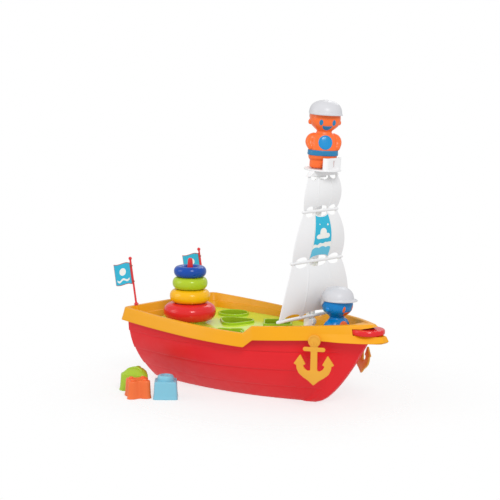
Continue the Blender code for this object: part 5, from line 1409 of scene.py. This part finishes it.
def anchor_outline():
    """The anchor about its head's centre, from the top of the head down the forward side and back up."""
    half = [(*place, 0) for place in arc((0, 0), (ANCHOR_HEAD, ANCHOR_HEAD), 90, -52, 26)]
    half.append((0.0066, -0.0124, 0.0020))
    half += [(*place, 0) for place in arc((0.0183, -0.0166), (STOCK_RADIUS, STOCK_RADIUS), 90, -90, 12)]
    half += ANCHOR_SHANK
    whole = half + [(-x, y, r) for x, y, r in reversed(half[1:-1])]
    return [(x, y + ANCHOR_PEG_DROP) for x, y in rounded(whole, 0.001, 5)]


def make_anchors():
    """Each anchor hangs on a peg whose slotted head shows inside the anchor's ring."""
    outline = anchor_outline()
    low = ANCHOR_THICKNESS - 0.001
    high = ANCHOR_THICKNESS + 0.0010
    bead = rounded(((0.0092, low), (0.0092, high), (0.0112, high), (0.0112, low)), 0.0005)
    top = ANCHOR_THICKNESS + GAP
    button = run_rounded((
        (0, -0.0152, 0), (PEG_RADIUS, -0.0152, 0.0004), (PEG_RADIUS, -0.0070, 0),
        (PEG_FLANGE, -0.0070, 0.0003), (PEG_FLANGE, -GAP, 0.0003), (PEG_RADIUS, -GAP, 0),
        (PEG_RADIUS, top, 0), (PEG_FLANGE, top, 0.0003), (0.0040, top + 0.0010, 0.0009), (0, top + 0.0012, 0),
    ))
    for side, word in ((-1, "starboard"), (1, "port")):
        matrix = anchor_matrix(side)
        plate = prism("anchor_plate_" + word, outline, 0.0, ANCHOR_THICKNESS, ANCHOR_AMBER)
        soften(plate, 0.0009, 3, radians(60))
        ring = moved(turned("head_ring", bead, 64, ANCHOR_AMBER), shift(0, ANCHOR_PEG_DROP, 0))
        plate = merge("anchor_plate_" + word, [plate, ring])
        fit(plate, word + "_anchor", "amber", "anchor_" + word, matrix)
        peg = turned("anchor_button_" + word, button, 40, ANCHOR_AMBER)
        cut(peg, box("nick", (-0.0007, -0.0022, top - 0.0016), (0.0007, 0.0060, top + 0.003)))
        fit(smooth(peg), "boat", "amber", "anchor_peg_" + word, matrix)


def make_disc():
    """The red disc that spins on a pin in the nose's slot."""
    upper = [(DISC_BORE, 0.0055, 0), (0.0330, 0.0055, 0.0036), (0.0345, 0.0024, 0.0026)]
    lower = [(radius, -z, r) for radius, z, r in upper]
    disc = turned("spinning_disc", rounded(lower + upper[::-1], 0.002, 8), 96, RING_RED)
    middle = shift(DISC_X, 0, (LIP_TOP_Z + TONGUE_BOTTOM_Z) / 2)
    fit(disc, "disc", "bright_red", "bow_disc", middle)


def block_shell(name, outline, material):
    """A block's body: a flared foot, tapering sides and a rounded top edge."""
    rings = []
    for share, factor in BLOCK_SIDES:
        rings.append(flat_ring([(x * factor, y * factor) for x, y in outline], BLOCK_HEIGHT * share))
    return loft(name, rings, material)


def finish_block(block, outline, at, turn, word, slot):
    inner = [(x * BLOCK_WALL_SHARE, y * BLOCK_WALL_SHARE) for x, y in outline]
    cut(block, prism("hollow", inner, -0.001, BLOCK_HEIGHT - BLOCK_CEILING))
    smooth(block, radians(30))
    place = shift(*at, 0) @ Matrix.Rotation(radians(turn), 4, "Z")
    fit(block, word + "_block", slot, "block_" + word, place)


def make_square_block():
    """The sky-blue block with a round stud on its top."""
    outline = square_outline(BLOCK_SIZE)
    block = block_shell("square_sorter_block", outline, BLOCK_SKY)
    top = BLOCK_HEIGHT + STUD_RISE
    stud = run_rounded((
        (0, STUD_FOOT_Z, 0), (0.0175, STUD_FOOT_Z, 0), (0.0172, 0.0415, 0.001), (0.0155, top, 0.0048),
        (0.0090, top, 0.0012), (0.0082, top - 0.0032, 0.0010), (0.0052, top - 0.0032, 0.0008),
        (0.0040, top - 0.0005, 0.0012), (0, top - 0.0005, 0),
    ), 6)
    join(block, turned("stud", stud, 72))
    finish_block(block, outline, (-0.1221, -0.1913), 43, "square", "sky")


def make_quatrefoil_block():
    """The orange block with a nub on each lobe."""
    outline = quatrefoil_outline(0.0)
    block = block_shell("lobed_sorter_block", outline, BLOCK_ORANGE)
    top = BLOCK_HEIGHT + NUB_RISE
    corners = ((0, STUD_FOOT_Z, 0), (0.0048, STUD_FOOT_Z, 0), (0.0045, top, 0.0026), (0, top, 0))
    profile = run_rounded(corners, 8)
    for x, y in arc((0, 0), (NUB_FROM_MIDDLE, NUB_FROM_MIDDLE), 45, 315, 3):
        join(block, moved(turned("nub", profile, 36), shift(x, y, 0)))
    finish_block(block, outline, (-0.1674, -0.2269), 55, "quatrefoil", "orange")


def make_dome(outline):
    """The green block's rounded top, which draws in from the block's outline to a circle."""
    rings = []
    for a in steps(0, DOME_STEEPEST, 18):
        share = (a / DOME_STEEPEST) ** 0.7
        z = BLOCK_HEIGHT - 0.0006 + DOME_HEIGHT * sin(a)
        ring = []
        for x, y in outline:
            factor = DOME_SHARE * (1 + (DOME_ROUND / sqrt(x * x + y * y) - 1) * share) * cos(a)
            ring.append(Vector((x * factor, y * factor, z)))
        rings.append(ring)
    return loft("dome", rings)


def make_rib(lower):
    """A rounded rib that runs out from the dome's middle and down with it."""
    path = []
    for t in steps(*RIB_REACH, RIB_STEPS):
        lift = RIB_LIFT * sqrt(max(0.0, 1 - (t / RIB_FALL) ** 2))
        path.append(Vector((t, 0, BLOCK_HEIGHT + lift + 0.0006 - lower)))
    angles = steps(0, TURN, 20)[:-1]
    rings = []
    for n, point in enumerate(path):
        along = (path[min(n + 1, RIB_STEPS)] - path[max(n - 1, 0)]).normalized()
        up = Vector((-along.z, 0, along.x))
        size = RIB_RADIUS * (0.75 if n in (0, RIB_STEPS) else 1.0)
        rings.append([point + up * size * sin(a) + Vector((0, size * cos(a), 0)) for a in angles])
    return loft("rib", rings)


def make_triangle_block():
    """The green block with a dome and three ribs."""
    outline = triangle_outline(0.0)
    block = block_shell("triangle_sorter_block", outline, BLOCK_GREEN)
    join(block, make_dome(outline))
    for k in range(3):
        join(block, moved(make_rib(0.0002 * k), Matrix.Rotation(radians(91 + 120 * k), 4, "Z")))
    finish_block(block, outline, (-0.2156, -0.1846), 20, "triangle", "lime")


make_hull()
make_tray()
make_plate()
make_collars()
make_rings()
make_flags()
make_mast()
make_yards()
make_sails()
make_banner()
make_nest()
make_sailors()
make_anchors()
make_disc()
make_square_block()
make_quatrefoil_block()
make_triangle_block()

for node, material, slot in (
        ("ring_peg_screw", SCREW_STEEL, "steel"), ("bow_disc_pin", TRAY_YELLOW, "yellow")):
    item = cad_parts[node]
    item.data.materials.clear()
    item.data.materials.append(material)


# Floor, lights and camera

FLOOR_RADIUS = 0.61
FLOOR_Z = -0.0004
LIGHT_AIM = (0.0, 0.0, 0.2)
CAMERA_AT = Vector((1.8911, -2.2398, 0.7028))
CAMERA_AIM = Vector((-0.0628, 0.0, 0.2957))
CAMERA_ROLL = radians(0.8)
CAMERA_LENS = 102.09
FADE_START = 0.24
FADE_END = 0.60
FLOOR_CLEARNESS = 0.72


def make_floor():
    """A pale sheet that takes the boat's soft shadow and fades into the white background."""
    paper = plastic("floor_paper", (0.94, 0.94, 0.94), 0.8, 0.008)
    tree = paper.node_tree
    distance = tree.nodes.new("ShaderNodeVectorMath")
    distance.operation = "LENGTH"
    fade = tree.nodes.new("ShaderNodeMapRange")
    fade.interpolation_type = "SMOOTHSTEP"
    set_inputs(fade, {"From Min": FADE_START, "From Max": FADE_END, "To Min": FLOOR_CLEARNESS})
    mix = tree.nodes.new("ShaderNodeMixShader")
    link_all(
        tree,
        (tree.nodes.new("ShaderNodeTexCoord"), "Object", distance, 0),
        (distance, "Value", fade, "Value"),
        (fade, "Result", mix, "Fac"),
        (tree.nodes["Principled BSDF"], "BSDF", mix, 1),
        (tree.nodes.new("ShaderNodeBsdfTransparent"), "BSDF", mix, 2),
        (mix, "Shader", tree.nodes["Material Output"], "Surface"),
    )
    outline = [(x, y, FLOOR_Z) for x, y in circle(FLOOR_RADIUS, 64)]
    make_mesh("floor", outline, [tuple(range(64))], paper)


def add_area(name, at, size, power):
    data = bpy.data.lights.new(name, "AREA")
    data.shape = "DISK"
    data.size = size
    data.energy = power
    lamp = bpy.data.objects.new(name, data)
    lamp.location = at
    lamp.rotation_euler = (Vector(LIGHT_AIM) - Vector(at)).to_track_quat("-Z", "Y").to_euler()
    bpy.context.scene.collection.objects.link(lamp)


def light_world(strength):
    """White for the camera, softer as a light and in reflections."""
    world = bpy.data.worlds.new("studio")
    bpy.context.scene.world = world
    world.use_nodes = True
    tree = world.node_tree
    tree.nodes.clear()
    soft = tree.nodes.new("ShaderNodeBackground")
    set_inputs(soft, {"Color": (1, 1, 1, 1), "Strength": strength})
    white = tree.nodes.new("ShaderNodeBackground")
    set_inputs(white, {"Color": (1, 1, 1, 1), "Strength": 1.0})
    mix = tree.nodes.new("ShaderNodeMixShader")
    link_all(
        tree,
        (tree.nodes.new("ShaderNodeLightPath"), "Is Camera Ray", mix, "Fac"),
        (soft, "Background", mix, 1),
        (white, "Background", mix, 2),
        (mix, "Shader", tree.nodes.new("ShaderNodeOutputWorld"), "Surface"),
    )


def make_camera():
    data = bpy.data.cameras.new("camera")
    data.lens = CAMERA_LENS
    data.sensor_width = 36
    data.clip_start = 0.05
    data.clip_end = 30
    camera = bpy.data.objects.new("camera", data)
    turn = (CAMERA_AIM - CAMERA_AT).to_track_quat("-Z", "Y").to_matrix().to_4x4()
    camera.matrix_world = Matrix.Translation(CAMERA_AT) @ turn @ Matrix.Rotation(CAMERA_ROLL, 4, "Z")
    bpy.context.scene.collection.objects.link(camera)
    bpy.context.scene.camera = camera


make_floor()
light_world(0.70)
add_area("key", (1.8, -1.3, 1.8), 0.8, 27)
add_area("fill", (-1.6, -2.0, 1.2), 1.6, 13)
add_area("back", (-0.8, 2.0, 1.9), 1.2, 8)
make_camera()
bpy.context.scene.view_settings.view_transform = "Standard"
